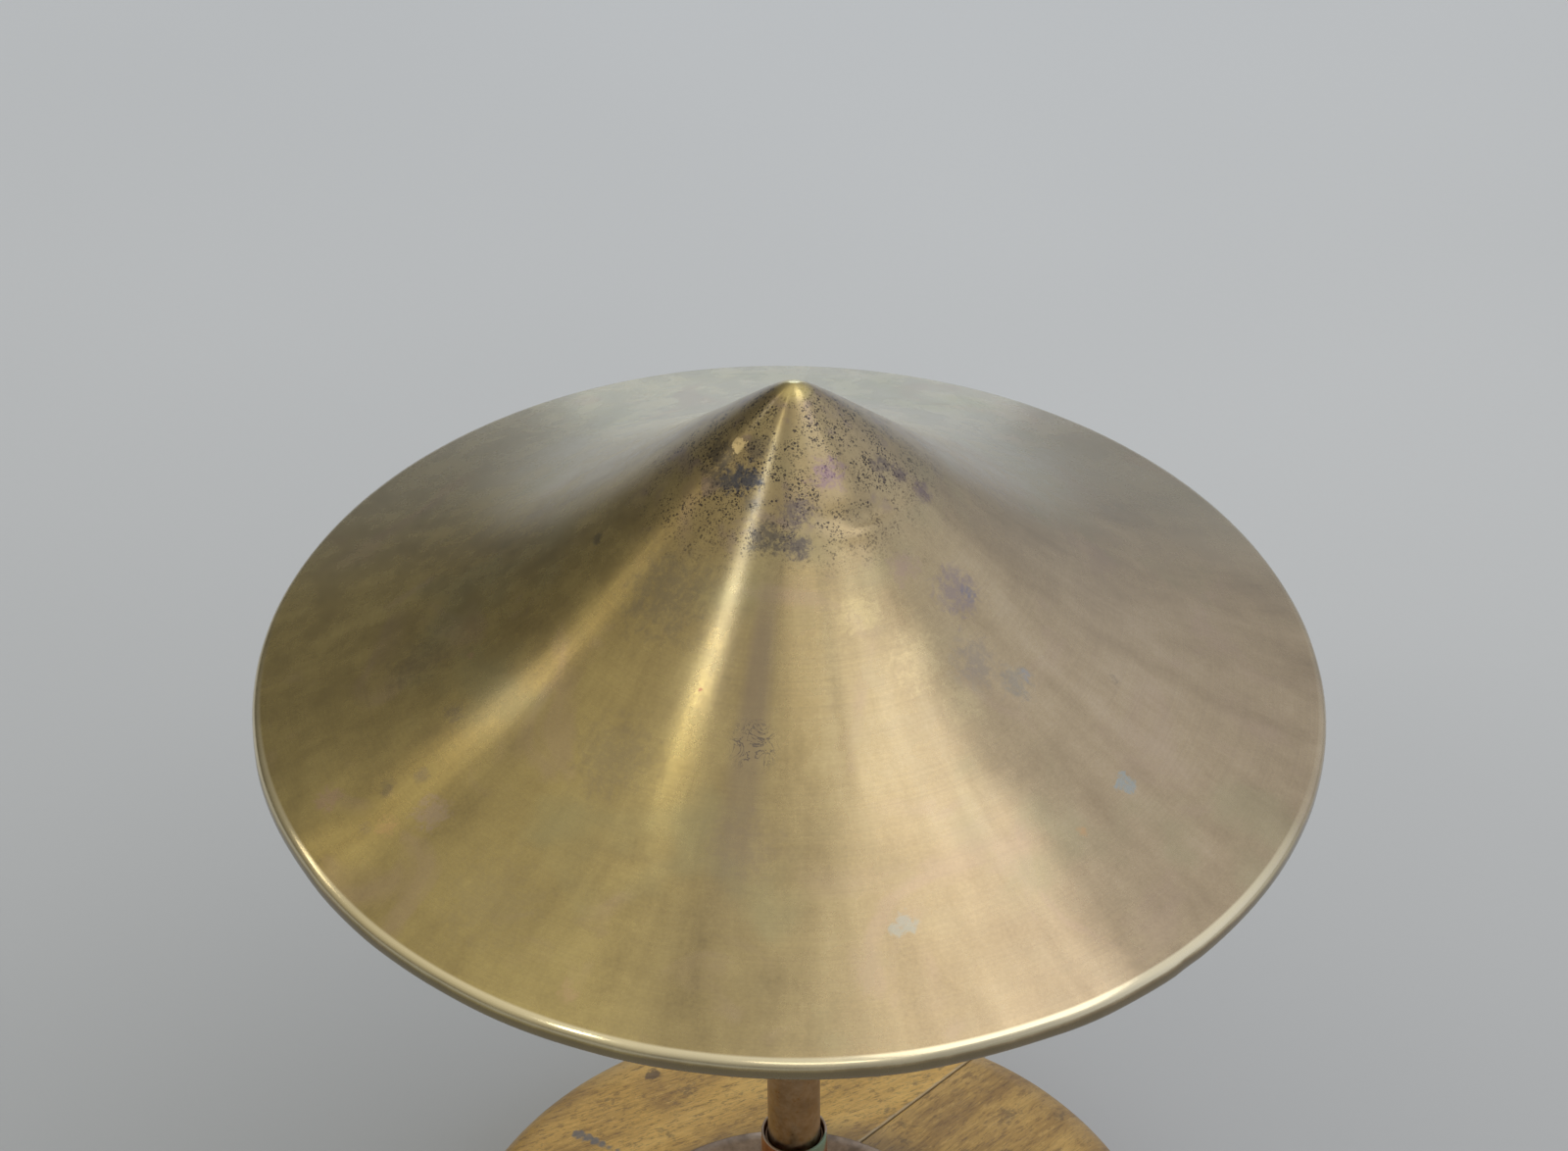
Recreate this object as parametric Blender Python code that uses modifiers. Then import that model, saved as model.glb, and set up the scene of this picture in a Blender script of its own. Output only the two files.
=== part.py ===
"""Table lamp with a spun conical brass shade, a telescopic stem and a round wooden base.

Metres, +Z up. The origin is on the stem's axis, on the surface that the lamp stands on.
-Y is the lamp's front.
"""

import math

import bmesh
import bpy
from mathutils import Vector

MM = 0.001

# Clearance between pieces that touch or fit, and the finer one used to merge vertices.
GAP = 0.3 * MM
MERGE = 0.01 * MM

# Facets round the big turned pieces, the middling ones and the small ones.
SIDES_LARGE = 48
SIDES = 24
SIDES_SMALL = 16

# Wooden base: two boards glued along a chord, turned together, bored off their centre.
BASE_RADIUS = 137 * MM
BASE_TOP = 40 * MM
BASE_EDGE = 11 * MM
BASE_OFFSET_X = 4.4 * MM
BOARD_STEP = 0.5 * MM
JOINT_DISTANCE = 28.6 * MM
JOINT_ANGLE = math.radians(44)
JOINT_WIDTH = 0.6 * MM

# Under the base: felt, cover in its rebate, cavity and ballast.
FELT_THICKNESS = 2 * MM
FELT_INSET = 7 * MM
COVER_RADIUS = 95 * MM
COVER_THICKNESS = 2 * MM
COVER_SCREW_RADIUS = 91.5 * MM
COVER_SCREW_ANGLES = (-90, 30, 150)
SCREW_SHANK_RADIUS = 1.4 * MM
SCREW_HEAD_RADIUS = 3 * MM
SCREW_LENGTH = 11 * MM
CAVITY_RADIUS = 88 * MM
CAVITY_TOP = 30 * MM
BALLAST_RADIUS = 64 * MM
BALLAST_THICKNESS = 8.4 * MM

# Cord entry at the back of the base.
GLAND_Z = 16 * MM
GLAND_BORE = 3.6 * MM
GLAND_SHANK = 4.9 * MM
GLAND_FLANGE = 7.5 * MM
GLAND_FLANGE_THICKNESS = 2.5 * MM
GLAND_LENGTH = 20 * MM

# Brass disc on the base, and the nipple that clamps disc, base and ballast together.
DISC_RADIUS = 70 * MM
DISC_THICKNESS = 1.5 * MM
DISC_OFFSET_X = -4 * MM
NIPPLE_BORE = 4.5 * MM
NIPPLE_SHANK = 6.5 * MM
NIPPLE_SHOULDER = 15 * MM
NIPPLE_SHOULDER_THICKNESS = 3.3 * MM
NIPPLE_PLUG_HEIGHT = 4.6 * MM
NUT_RADIUS = 11 * MM
NUT_THICKNESS = 5 * MM
WASHER_RADIUS = 15 * MM
WASHER_THICKNESS = 1.2 * MM

# Outer sleeve and the guide bush in its mouth.
SLEEVE_PLAY = 1.4 * MM
SLEEVE_WALL = 1.1 * MM
SLEEVE_TOP = 118 * MM
BUSH_WALL = 0.8 * MM
BUSH_LENGTH = 18 * MM
BUSH_RECESS = 2 * MM

# Clamp screw at the front of the sleeve, in its boss.
CLAMP_DROP = 12 * MM
CLAMP_SHANK = 2.2 * MM
CLAMP_HEAD_RADIUS = 7 * MM
CLAMP_HEAD_LENGTH = 6 * MM
BOSS_RADIUS = 5 * MM
BOSS_LENGTH = 6 * MM
KNURLS = 20
KNURL_DEPTH = 0.5 * MM

# Stem, its foot ring and the plug that carries the lampholder.
STEM_RADIUS = 9.5 * MM
STEM_WALL = 1.2 * MM
STEM_TOP = 255 * MM
STEM_FOOT = 54.5 * MM
FOOT_RING_WALL = 0.7 * MM
FOOT_RING_HEIGHT = 6 * MM
PLUG_FLANGE = 11.5 * MM
PLUG_FLANGE_THICKNESS = 3 * MM
PLUG_DEPTH = 12 * MM
PLUG_BORE = 4.4 * MM
STUB_RADIUS = 5.2 * MM
STUB_HEIGHT = 10 * MM

# Harp: saddle, bow, ferrules.
HARP_HALF_WIDTH = 32 * MM
HARP_WIRE = 2.2 * MM
SADDLE_THICKNESS = 2 * MM
SADDLE_WIDTH = 14 * MM
POST_HEIGHT = 10.7 * MM
FERRULE_WALL = 1.3 * MM
FERRULE_LENGTH = 15 * MM
BOW_SPRING_Z = 345 * MM
BOW_RISE = 40.5 * MM
BOW_BOSS_RADIUS = 6 * MM
BOW_BOSS_MARGIN = 0.6 * MM

# Lampholder, from its cap to its mouth ring.
CAP_BUSHING_RADIUS = 8 * MM
CAP_BUSHING_HEIGHT = 6 * MM
CAP_HEIGHT = 20 * MM
HOLDER_RADIUS = 19.2 * MM
HOLDER_WALL = 1.1 * MM
SHELL_HEIGHT = 36 * MM
INSULATOR_RADIUS = 17.6 * MM
INSULATOR_BORE = 4.6 * MM
INSULATOR_HEIGHT = 12 * MM
SCREW_SHELL_RADIUS = 14.4 * MM
SCREW_SHELL_WALL = 0.7 * MM
SCREW_SHELL_HEIGHT = 19 * MM
MOUTH_RING_RADIUS = 20.6 * MM
MOUTH_RING_HEIGHT = 6.5 * MM
MOUTH_SKIRT_HEIGHT = 14 * MM
CONTACT_SIZE = (5 * MM, 14 * MM, 1.2 * MM)

# Rotary switch in the lampholder.
KEY_RISE = 7 * MM
SPINDLE_RADIUS = 1.9 * MM
SPINDLE_START = 7 * MM
SPINDLE_END = 27 * MM
KEY_SIZE = (3 * MM, 12 * MM, 15 * MM)

# Bulb: cap, neck and globe.
GLOBE_RADIUS = 22 * MM
GLASS_WALL = 0.8 * MM
NECK_RADIUS = 12.2 * MM
BULB_CAP_RADIUS = 13.2 * MM
BULB_CAP_WALL = 0.6 * MM
BULB_CAP_HEIGHT = 18 * MM
BULB_FOOT_HEIGHT = 3.7 * MM
BULB_CONTACT_RADIUS = 4.5 * MM
BULB_CONTACT_HEIGHT = 1.3 * MM
NECK_IN_CAP = 10 * MM
GLOBE_CLEARANCE = 2.5 * MM
MOUNT_RADIUS = 3.2 * MM
MOUNT_HEIGHT = 26 * MM
FILAMENT_RADIUS = 9 * MM
FILAMENT_WIRE = 0.4 * MM

# Tilter between the harp and the shade.
STUD_RADIUS = 2.5 * MM
STUD_HEAD_RADIUS = 5 * MM
STUD_HEAD_HEIGHT = 1.9 * MM
FORK_POST_RADIUS = 5.5 * MM
FORK_POST_HEIGHT = 8 * MM
FORK_BORE_DEPTH = 5.2 * MM
FORK_WIDTH = 12 * MM
FORK_EAR = 2.6 * MM
TONGUE_THICKNESS = 5.2 * MM
TONGUE_WIDTH = 10 * MM
FORK_FLOOR = 4.6 * MM
FORK_PIVOT_HEIGHT = 6.6 * MM
PIN_RADIUS = 2 * MM
PIN_HEAD_RADIUS = 4 * MM
PIN_HEAD_LENGTH = 2.6 * MM
NUT_KNOB_RADIUS = 6.5 * MM
NUT_KNOB_LENGTH = 5.5 * MM
SHADE_LEAN = math.radians(1.12)
SHADE_OFFSET_X = 1.5 * MM

# Spun shade: a steep crown that flares into a shallow brim, with a wired hem.
SHADE_RADIUS = 175 * MM
SHADE_WALL = 0.9 * MM
CROWN_SLOPE = 0.96
BRIM_SLOPE = 0.38
CROWN_RADIUS = 97 * MM
CROWN_BLEND = 42 * MM
TIP_ROUNDING = 5 * MM
APEX_ABOVE_PIVOT = 44 * MM
RIM_BEND = 3 * MM
HEM_DROP = 4 * MM
WIRE_RADIUS = 1.4 * MM
PLUG_CONE_TOP = 9 * MM
PLUG_CONE_HEIGHT = 9 * MM

# Levels worked out from the sizes above, from the table upwards.
BASE_BOTTOM = FELT_THICKNESS + GAP
COVER_TOP = BASE_BOTTOM + COVER_THICKNESS
DISC_BOTTOM = BASE_TOP + GAP
SHOULDER_BOTTOM = DISC_BOTTOM + DISC_THICKNESS + GAP
SHOULDER_TOP = SHOULDER_BOTTOM + NIPPLE_SHOULDER_THICKNESS
BALLAST_TOP = CAVITY_TOP - GAP
WASHER_TOP = BALLAST_TOP - BALLAST_THICKNESS - GAP
NUT_TOP = WASHER_TOP - WASHER_THICKNESS - GAP
NIPPLE_BOTTOM = NUT_TOP - NUT_THICKNESS - 2 * GAP
SLEEVE_BORE = STEM_RADIUS + SLEEVE_PLAY
SLEEVE_RADIUS = SLEEVE_BORE + SLEEVE_WALL
CLAMP_Z = SLEEVE_TOP - CLAMP_DROP
BOW_BOSS_HEIGHT = 2 * (HARP_WIRE + BOW_BOSS_MARGIN)
PLUG_TOP = STEM_TOP + GAP + PLUG_FLANGE_THICKNESS
SADDLE_BOTTOM = PLUG_TOP + GAP
SADDLE_TOP = SADDLE_BOTTOM + SADDLE_THICKNESS
POST_TOP = SADDLE_TOP + POST_HEIGHT
HOLDER_BOTTOM = SADDLE_TOP + GAP
SHELL_BOTTOM = HOLDER_BOTTOM + CAP_HEIGHT + GAP
SHELL_TOP = SHELL_BOTTOM + SHELL_HEIGHT
INSULATOR_BOTTOM = SHELL_BOTTOM + GAP
INSULATOR_TOP = INSULATOR_BOTTOM + INSULATOR_HEIGHT
KEY_Z = INSULATOR_BOTTOM + KEY_RISE
CONTACT_TOP = INSULATOR_TOP + GAP + CONTACT_SIZE[2]
BULB_BOTTOM = CONTACT_TOP + GAP
BULB_FOOT_BOTTOM = BULB_BOTTOM + BULB_CONTACT_HEIGHT + GAP
BULB_CAP_BOTTOM = BULB_FOOT_BOTTOM + BULB_FOOT_HEIGHT + GAP
BULB_CAP_TOP = BULB_CAP_BOTTOM + BULB_CAP_HEIGHT
GLOBE_Z = BULB_CAP_TOP + GLOBE_RADIUS + GLOBE_CLEARANCE
BOW_TOP_Z = BOW_SPRING_Z + BOW_RISE
BOW_BOSS_TOP = BOW_TOP_Z + BOW_BOSS_HEIGHT / 2
BOW_BOSS_BOTTOM = BOW_TOP_Z - BOW_BOSS_HEIGHT / 2
FORK_BOTTOM = BOW_BOSS_TOP + GAP
FORK_SLOT_Z = FORK_BOTTOM + FORK_POST_HEIGHT + FORK_FLOOR
PIVOT_Z = FORK_SLOT_Z + FORK_PIVOT_HEIGHT
SLOT_WIDTH = TONGUE_THICKNESS + 2 * GAP
FORK_HALF_DEPTH = SLOT_WIDTH / 2 + FORK_EAR


def clear_scene():
    for obj in list(bpy.data.objects):
        bpy.data.objects.remove(obj, do_unlink=True)


def new_collection(name, hidden=False):
    collection = bpy.data.collections.new(name)
    bpy.context.scene.collection.children.link(collection)
    collection.hide_render = hidden
    return collection


def new_material(name, colour, roughness, metallic=0.0, alpha=1.0):
    material = bpy.data.materials.new(name)
    material.use_nodes = True
    shader = material.node_tree.nodes["Principled BSDF"]
    shader.inputs["Base Color"].default_value = (*colour, 1.0)
    shader.inputs["Roughness"].default_value = roughness
    shader.inputs["Metallic"].default_value = metallic
    shader.inputs["Alpha"].default_value = alpha
    return material


def new_empty(name, location, parent=None, rotation=(0, 0, 0)):
    empty = bpy.data.objects.new(name, None)
    empty.empty_display_size = 10 * MM
    empty.location = location
    empty.rotation_euler = rotation
    empty.parent = parent
    LAMP.objects.link(empty)
    return empty


def place(obj, material=None, location=(0, 0, 0), rotation=(0, 0, 0), parent=None):
    """Links a visible piece of the lamp and sets where it is."""
    LAMP.objects.link(obj)
    obj.location = location
    obj.rotation_euler = rotation
    obj.parent = parent
    if material:
        obj.data.materials.append(material)
    return obj


def cutter(obj, location=(0, 0, 0), rotation=(0, 0, 0)):
    """Links a shape that only cuts others."""
    CUTTERS.objects.link(obj)
    obj.location = location
    obj.rotation_euler = rotation
    obj.hide_render = True
    obj.display_type = "WIRE"
    return obj


def turned(name, profile, sides=SIDES):
    """A turned solid from (radius, height) points that run down its outer side; a ring's form a loop."""
    on_axis = profile[0][0] == 0 and profile[-1][0] == 0
    count = len(profile)
    edges = [(i, i + 1) for i in range(count - 1)]
    if not on_axis:
        edges.append((count - 1, 0))
    mesh = bpy.data.meshes.new(name)
    mesh.from_pydata([(r, 0, z) for r, z in profile], edges, [])
    obj = bpy.data.objects.new(name, mesh)
    screw = obj.modifiers.new("Turn", "SCREW")
    screw.steps = screw.render_steps = sides
    screw.use_merge_vertices = True
    screw.merge_threshold = MERGE
    screw.use_smooth_shade = True
    return obj


def ring(name, outer, inner, bottom, top, sides=SIDES):
    return turned(name, [(outer, top), (outer, bottom), (inner, bottom), (inner, top)], sides)


def rod(name, radius, bottom, top, sides=SIDES_SMALL):
    return turned(name, [(0, top), (radius, top), (radius, bottom), (0, bottom)], sides)


def arc(centre, radius, start, end, steps):
    """Points of an arc in (radius, height), from start to end in degrees, 0 outwards and 90 up."""
    points = []
    for i in range(steps + 1):
        angle = math.radians(start + (end - start) * i / steps)
        points.append((centre[0] + radius * math.cos(angle), centre[1] + radius * math.sin(angle)))
    return points


def block(name, size, centre=(0, 0, 0)):
    mesh = bpy.data.meshes.new(name)
    shape = bmesh.new()
    bmesh.ops.create_cube(shape, size=1)
    bmesh.ops.scale(shape, vec=size, verts=shape.verts)
    bmesh.ops.translate(shape, vec=centre, verts=shape.verts)
    shape.to_mesh(mesh)
    shape.free()
    return bpy.data.objects.new(name, mesh)


def wire(name, points, radius, resolution=2):
    """A round wire or tube along points, as a mesh with welded caps."""
    curve = bpy.data.curves.new(name, "CURVE")
    curve.dimensions = "3D"
    curve.bevel_depth = radius
    curve.bevel_resolution = resolution
    curve.use_fill_caps = True
    spline = curve.splines.new("POLY")
    spline.points.add(len(points) - 1)
    for point, co in zip(spline.points, points):
        point.co = (*co, 1)
    guide = bpy.data.objects.new(name + "_path", curve)
    bpy.context.scene.collection.objects.link(guide)
    graph = bpy.context.evaluated_depsgraph_get()
    mesh = bpy.data.meshes.new_from_object(guide.evaluated_get(graph))
    mesh.name = name
    bpy.data.objects.remove(guide)
    shape = bmesh.new()
    shape.from_mesh(mesh)
    bmesh.ops.remove_doubles(shape, verts=shape.verts, dist=MERGE)
    shape.to_mesh(mesh)
    shape.free()
    return bpy.data.objects.new(name, mesh)


def boolean(obj, tool, operation="DIFFERENCE"):
    modifier = obj.modifiers.new(operation.title(), "BOOLEAN")
    modifier.operation = operation
    modifier.object = tool
    modifier.solver = "EXACT"


def shade_height(radius):
    """Height of the shade's outer face above its rim: a steep crown blending into the brim."""
    radius = math.hypot(radius, TIP_ROUNDING)
    run = SHADE_RADIUS - radius
    bend = CROWN_BLEND * (
        math.log(math.cosh((SHADE_RADIUS - CROWN_RADIUS) / CROWN_BLEND))
        - math.log(math.cosh((radius - CROWN_RADIUS) / CROWN_BLEND))
    )
    return BRIM_SLOPE * run + (CROWN_SLOPE - BRIM_SLOPE) * (run - bend) / 2


APEX_Z = PIVOT_Z + APEX_ABOVE_PIVOT
RIM_Z = APEX_Z - shade_height(0)


def shade_inside(radius):
    """Height of the shade's inner face above its rim, one wall below the outer face, square to it."""
    step = 0.1 * MM
    slope = (shade_height(radius) - shade_height(radius + step)) / step
    return shade_height(radius) - SHADE_WALL * math.hypot(1, slope)


# --- Base -----------------------------------------------------------------------------------------------------


def base_block(name, top):
    """The whole turned block, hollow underneath. Each board is this block, cut along the glue joint."""
    lower_edge = BASE_EDGE * 0.8
    profile = [(0, top)]
    profile += arc((BASE_RADIUS - BASE_EDGE, top - BASE_EDGE), BASE_EDGE, 90, 0, 5)
    profile += arc((BASE_RADIUS - lower_edge, BASE_BOTTOM + lower_edge), lower_edge, 0, -90, 4)
    profile += [
        (COVER_RADIUS + GAP, BASE_BOTTOM),
        (COVER_RADIUS + GAP, COVER_TOP + GAP),
        (CAVITY_RADIUS, COVER_TOP + GAP),
        (CAVITY_RADIUS, CAVITY_TOP),
        (0, CAVITY_TOP),
    ]
    return turned(name, profile, SIDES_LARGE)


def joint_cutter(name, side):
    """A block that removes all on one side of the glue joint; side is 1 for beyond it, -1 for before."""
    size = 4 * BASE_RADIUS
    shape = block(name, (size, size, size), (0, side * (size / 2 - JOINT_WIDTH / 2), 0))
    across = Vector((-math.sin(JOINT_ANGLE), math.cos(JOINT_ANGLE), 0))
    return cutter(shape, across * JOINT_DISTANCE, (0, 0, JOINT_ANGLE))


def make_base(materials):
    nipple_hole = cutter(rod("cut_nipple_hole", NIPPLE_SHANK + GAP, -BASE_TOP, 2 * BASE_TOP, SIDES))
    gland_hole = cutter(
        rod("cut_gland_hole", GLAND_SHANK + GAP, -2 * BASE_RADIUS, -CAVITY_RADIUS * 0.9),
        (BASE_OFFSET_X, 0, GLAND_Z),
        (math.radians(90), 0, 0),
    )
    pilots = []
    for number, angle in enumerate(COVER_SCREW_ANGLES, 1):
        at = screw_place(angle)
        pilot = rod(f"cut_pilot_{number}", SCREW_SHANK_RADIUS + GAP, 0, BASE_BOTTOM + SCREW_LENGTH + 1 * MM)
        pilots.append((cutter(pilot, at), at))
    boards = (("base_board_rear", BASE_TOP, -1), ("base_board_front", BASE_TOP - BOARD_STEP, 1))
    for name, top, side in boards:
        board = place(base_block(name, top), materials["wood"], (BASE_OFFSET_X, 0, 0))
        boolean(board, nipple_hole)
        boolean(board, joint_cutter(f"cut_{name}", side))
        if side < 0:
            boolean(board, gland_hole)
        for pilot, at in pilots:
            beyond_joint = -math.sin(JOINT_ANGLE) * at[0] + math.cos(JOINT_ANGLE) * at[1] > JOINT_DISTANCE
            if beyond_joint == (side < 0):
                boolean(board, pilot)


def screw_place(angle):
    angle = math.radians(angle)
    return (
        BASE_OFFSET_X + COVER_SCREW_RADIUS * math.cos(angle),
        COVER_SCREW_RADIUS * math.sin(angle),
        0,
    )


def make_underside(materials):
    felt = rod("felt_pad", BASE_RADIUS - FELT_INSET, 0, FELT_THICKNESS, SIDES_LARGE)
    place(felt, materials["felt"], (BASE_OFFSET_X, 0, 0))
    cover = rod("bottom_cover", COVER_RADIUS, BASE_BOTTOM, COVER_TOP, SIDES_LARGE)
    place(cover, materials["fibreboard"], (BASE_OFFSET_X, 0, 0))
    head_height = SCREW_HEAD_RADIUS - SCREW_SHANK_RADIUS
    for number, angle in enumerate(COVER_SCREW_ANGLES, 1):
        at = screw_place(angle)
        sink = turned(
            f"cut_cover_hole_{number}",
            [
                (0, 2 * COVER_TOP),
                (SCREW_SHANK_RADIUS + GAP, 2 * COVER_TOP),
                (SCREW_SHANK_RADIUS + GAP, BASE_BOTTOM + head_height + GAP),
                (SCREW_HEAD_RADIUS + 2 * GAP, BASE_BOTTOM),
                (SCREW_HEAD_RADIUS + 2 * GAP, 0),
                (0, 0),
            ],
            SIDES_SMALL,
        )
        boolean(cover, cutter(sink, at))
        screw = turned(
            f"cover_screw_{number}",
            [
                (0, BASE_BOTTOM + SCREW_LENGTH),
                (SCREW_SHANK_RADIUS, BASE_BOTTOM + SCREW_LENGTH - 3 * MM),
                (SCREW_SHANK_RADIUS, BASE_BOTTOM + head_height),
                (SCREW_HEAD_RADIUS, BASE_BOTTOM),
                (0, BASE_BOTTOM),
            ],
            SIDES_SMALL,
        )
        place(screw, materials["steel"], at)
        slot = block(f"cut_slot_{number}", (3 * SCREW_HEAD_RADIUS, 0.8 * MM, 1 * MM), (0, 0, BASE_BOTTOM))
        boolean(screw, cutter(slot, at, (0, 0, math.radians(angle))))


def make_ballast(materials):
    bore = NIPPLE_SHANK + GAP
    ballast = ring("ballast", BALLAST_RADIUS, bore, BALLAST_TOP - BALLAST_THICKNESS, BALLAST_TOP, 48)
    place(ballast, materials["iron"])
    washer = ring("nipple_washer", WASHER_RADIUS, bore, WASHER_TOP - WASHER_THICKNESS, WASHER_TOP)
    place(washer, materials["steel"])
    hole = cutter(rod("cut_nut_hole", NIPPLE_SHANK + GAP, -BASE_TOP, BASE_TOP, SIDES))
    nut = rod("nipple_nut", NUT_RADIUS, NUT_TOP - NUT_THICKNESS, NUT_TOP, 6)
    boolean(nut, hole)
    place(nut, materials["brass"])


def make_disc_and_nipple(materials):
    edge = DISC_THICKNESS / 2
    disc = turned(
        "base_disc",
        [(0, DISC_BOTTOM + DISC_THICKNESS)]
        + arc((DISC_RADIUS - edge, DISC_BOTTOM + edge), edge, 90, -90, 2)
        + [(0, DISC_BOTTOM)],
        SIDES_LARGE,
    )
    boolean(disc, cutter(rod("cut_disc_hole", NIPPLE_SHANK + GAP, 0, 2 * BASE_TOP, SIDES)))
    place(disc, materials["brass"], (DISC_OFFSET_X, 0, 0))
    plug = SLEEVE_BORE - GAP
    chamfer = 0.8 * MM
    nipple = turned(
        "fixing_nipple",
        [
            (plug, SHOULDER_TOP + NIPPLE_PLUG_HEIGHT),
            (plug, SHOULDER_TOP),
            (NIPPLE_SHOULDER - chamfer, SHOULDER_TOP),
            (NIPPLE_SHOULDER, SHOULDER_TOP - chamfer),
            (NIPPLE_SHOULDER, SHOULDER_BOTTOM),
            (NIPPLE_SHANK, SHOULDER_BOTTOM),
            (NIPPLE_SHANK, NIPPLE_BOTTOM),
            (NIPPLE_BORE, NIPPLE_BOTTOM),
            (NIPPLE_BORE, SHOULDER_TOP + NIPPLE_PLUG_HEIGHT),
        ],
    )
    place(nipple, materials["brass"])


def make_cord_entry(materials):
    flange_y = BASE_RADIUS + GAP
    gland = turned(
        "cord_gland",
        [
            (GLAND_FLANGE - 1 * MM, flange_y + GLAND_FLANGE_THICKNESS),
            (GLAND_FLANGE, flange_y + GLAND_FLANGE_THICKNESS - 1 * MM),
            (GLAND_FLANGE, flange_y),
            (GLAND_SHANK, flange_y),
            (GLAND_SHANK, flange_y - GLAND_LENGTH),
            (GLAND_BORE, flange_y - GLAND_LENGTH),
            (GLAND_BORE, flange_y + GLAND_FLANGE_THICKNESS),
        ],
    )
    place(gland, materials["bakelite"], (BASE_OFFSET_X, 0, GLAND_Z), (math.radians(-90), 0, 0))


# --- Sleeve and stem ------------------------------------------------------------------------------------------


def knurled(name, radius, bottom, top, material):
    """A knob whose side is fluted by a ring of shallow points."""
    mesh = bpy.data.meshes.new(name)
    shape = bmesh.new()
    chamfer = KNURL_DEPTH * 1.5
    rings = []
    for z, inset in ((bottom, chamfer), (bottom + chamfer, 0), (top - chamfer, 0), (top, chamfer)):
        loop = []
        for i in range(2 * KNURLS):
            r = radius - inset - (KNURL_DEPTH if i % 2 else 0)
            angle = math.pi * i / KNURLS
            loop.append(shape.verts.new((r * math.cos(angle), r * math.sin(angle), z)))
        rings.append(loop)
    for lower, upper in zip(rings, rings[1:]):
        for i in range(2 * KNURLS):
            j = (i + 1) % (2 * KNURLS)
            shape.faces.new((lower[i], lower[j], upper[j], upper[i]))
    shape.faces.new(list(reversed(rings[0])))
    shape.faces.new(rings[-1])
    shape.to_mesh(mesh)
    shape.free()
    knob = bpy.data.objects.new(name, mesh)
    knob.data.materials.append(material)
    return knob


def make_sleeve(materials):
    lip = 0.35 * MM
    bottom = SHOULDER_TOP + GAP
    sleeve = turned(
        "sleeve_tube",
        [
            (SLEEVE_RADIUS - lip, SLEEVE_TOP),
            (SLEEVE_RADIUS, SLEEVE_TOP - lip),
            (SLEEVE_RADIUS, bottom),
            (SLEEVE_BORE, bottom),
            (SLEEVE_BORE, SLEEVE_TOP - lip),
            (SLEEVE_BORE + lip, SLEEVE_TOP),
        ],
    )
    place(sleeve, materials["copper"])
    bush_top = SLEEVE_TOP - BUSH_RECESS
    bush_outer = SLEEVE_BORE - GAP
    bush = ring("guide_bush", bush_outer, bush_outer - BUSH_WALL, bush_top - BUSH_LENGTH, bush_top)
    place(bush, materials["brass"])
    forward = (math.radians(90), 0, 0)
    hole = cutter(rod("cut_clamp_hole", CLAMP_SHANK + GAP, 0, 3 * SLEEVE_RADIUS), (0, 0, CLAMP_Z), forward)
    boolean(sleeve, hole)
    boolean(bush, hole)
    boss_end = SLEEVE_RADIUS + BOSS_LENGTH
    boss = rod("clamp_boss", BOSS_RADIUS, SLEEVE_RADIUS / 2, boss_end)
    place(boss, materials["brass"], (0, 0, CLAMP_Z), forward)
    boolean(boss, cutter(rod("cut_boss_seat", SLEEVE_RADIUS + GAP, 0, 2 * SLEEVE_TOP, SIDES)))
    boolean(boss, hole)
    head_start = boss_end + 2 * GAP
    head_end = head_start + CLAMP_HEAD_LENGTH
    screw = knurled("clamp_screw", CLAMP_HEAD_RADIUS, head_start, head_end, materials["brass"])
    shank = rod("join_clamp_shank", CLAMP_SHANK, STEM_RADIUS + GAP, head_start + 2 * MM)
    boolean(screw, cutter(shank, (0, 0, CLAMP_Z), forward), "UNION")
    axis = new_empty("clamp_axis", (0, 0, CLAMP_Z), rotation=forward)
    place(screw, parent=axis)


def make_stem(materials):
    axis = new_empty("stem_axis", (0, 0, 0))
    stem = ring("stem_tube", STEM_RADIUS, STEM_RADIUS - STEM_WALL, STEM_FOOT, STEM_TOP)
    place(stem, materials["brass"], parent=axis)
    foot = ring(
        "foot_ring",
        STEM_RADIUS + GAP + FOOT_RING_WALL,
        STEM_RADIUS + GAP,
        STEM_FOOT + 1 * MM,
        STEM_FOOT + 1 * MM + FOOT_RING_HEIGHT,
    )
    place(foot, materials["brass"], parent=axis)
    plug = STEM_RADIUS - STEM_WALL - GAP
    flange_bottom = STEM_TOP + GAP
    stem_plug = turned(
        "stem_plug",
        [
            (STUB_RADIUS, PLUG_TOP + STUB_HEIGHT),
            (STUB_RADIUS, PLUG_TOP),
            (PLUG_FLANGE - 0.6 * MM, PLUG_TOP),
            (PLUG_FLANGE, PLUG_TOP - 0.6 * MM),
            (PLUG_FLANGE, flange_bottom + 0.6 * MM),
            (PLUG_FLANGE - 0.6 * MM, flange_bottom),
            (plug, flange_bottom),
            (plug, STEM_TOP - PLUG_DEPTH),
            (PLUG_BORE, STEM_TOP - PLUG_DEPTH),
            (PLUG_BORE, PLUG_TOP + STUB_HEIGHT),
        ],
    )
    place(stem_plug, materials["brass"], parent=axis)
    return axis


# --- Lampholder and bulb --------------------------------------------------------------------------------------


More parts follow.
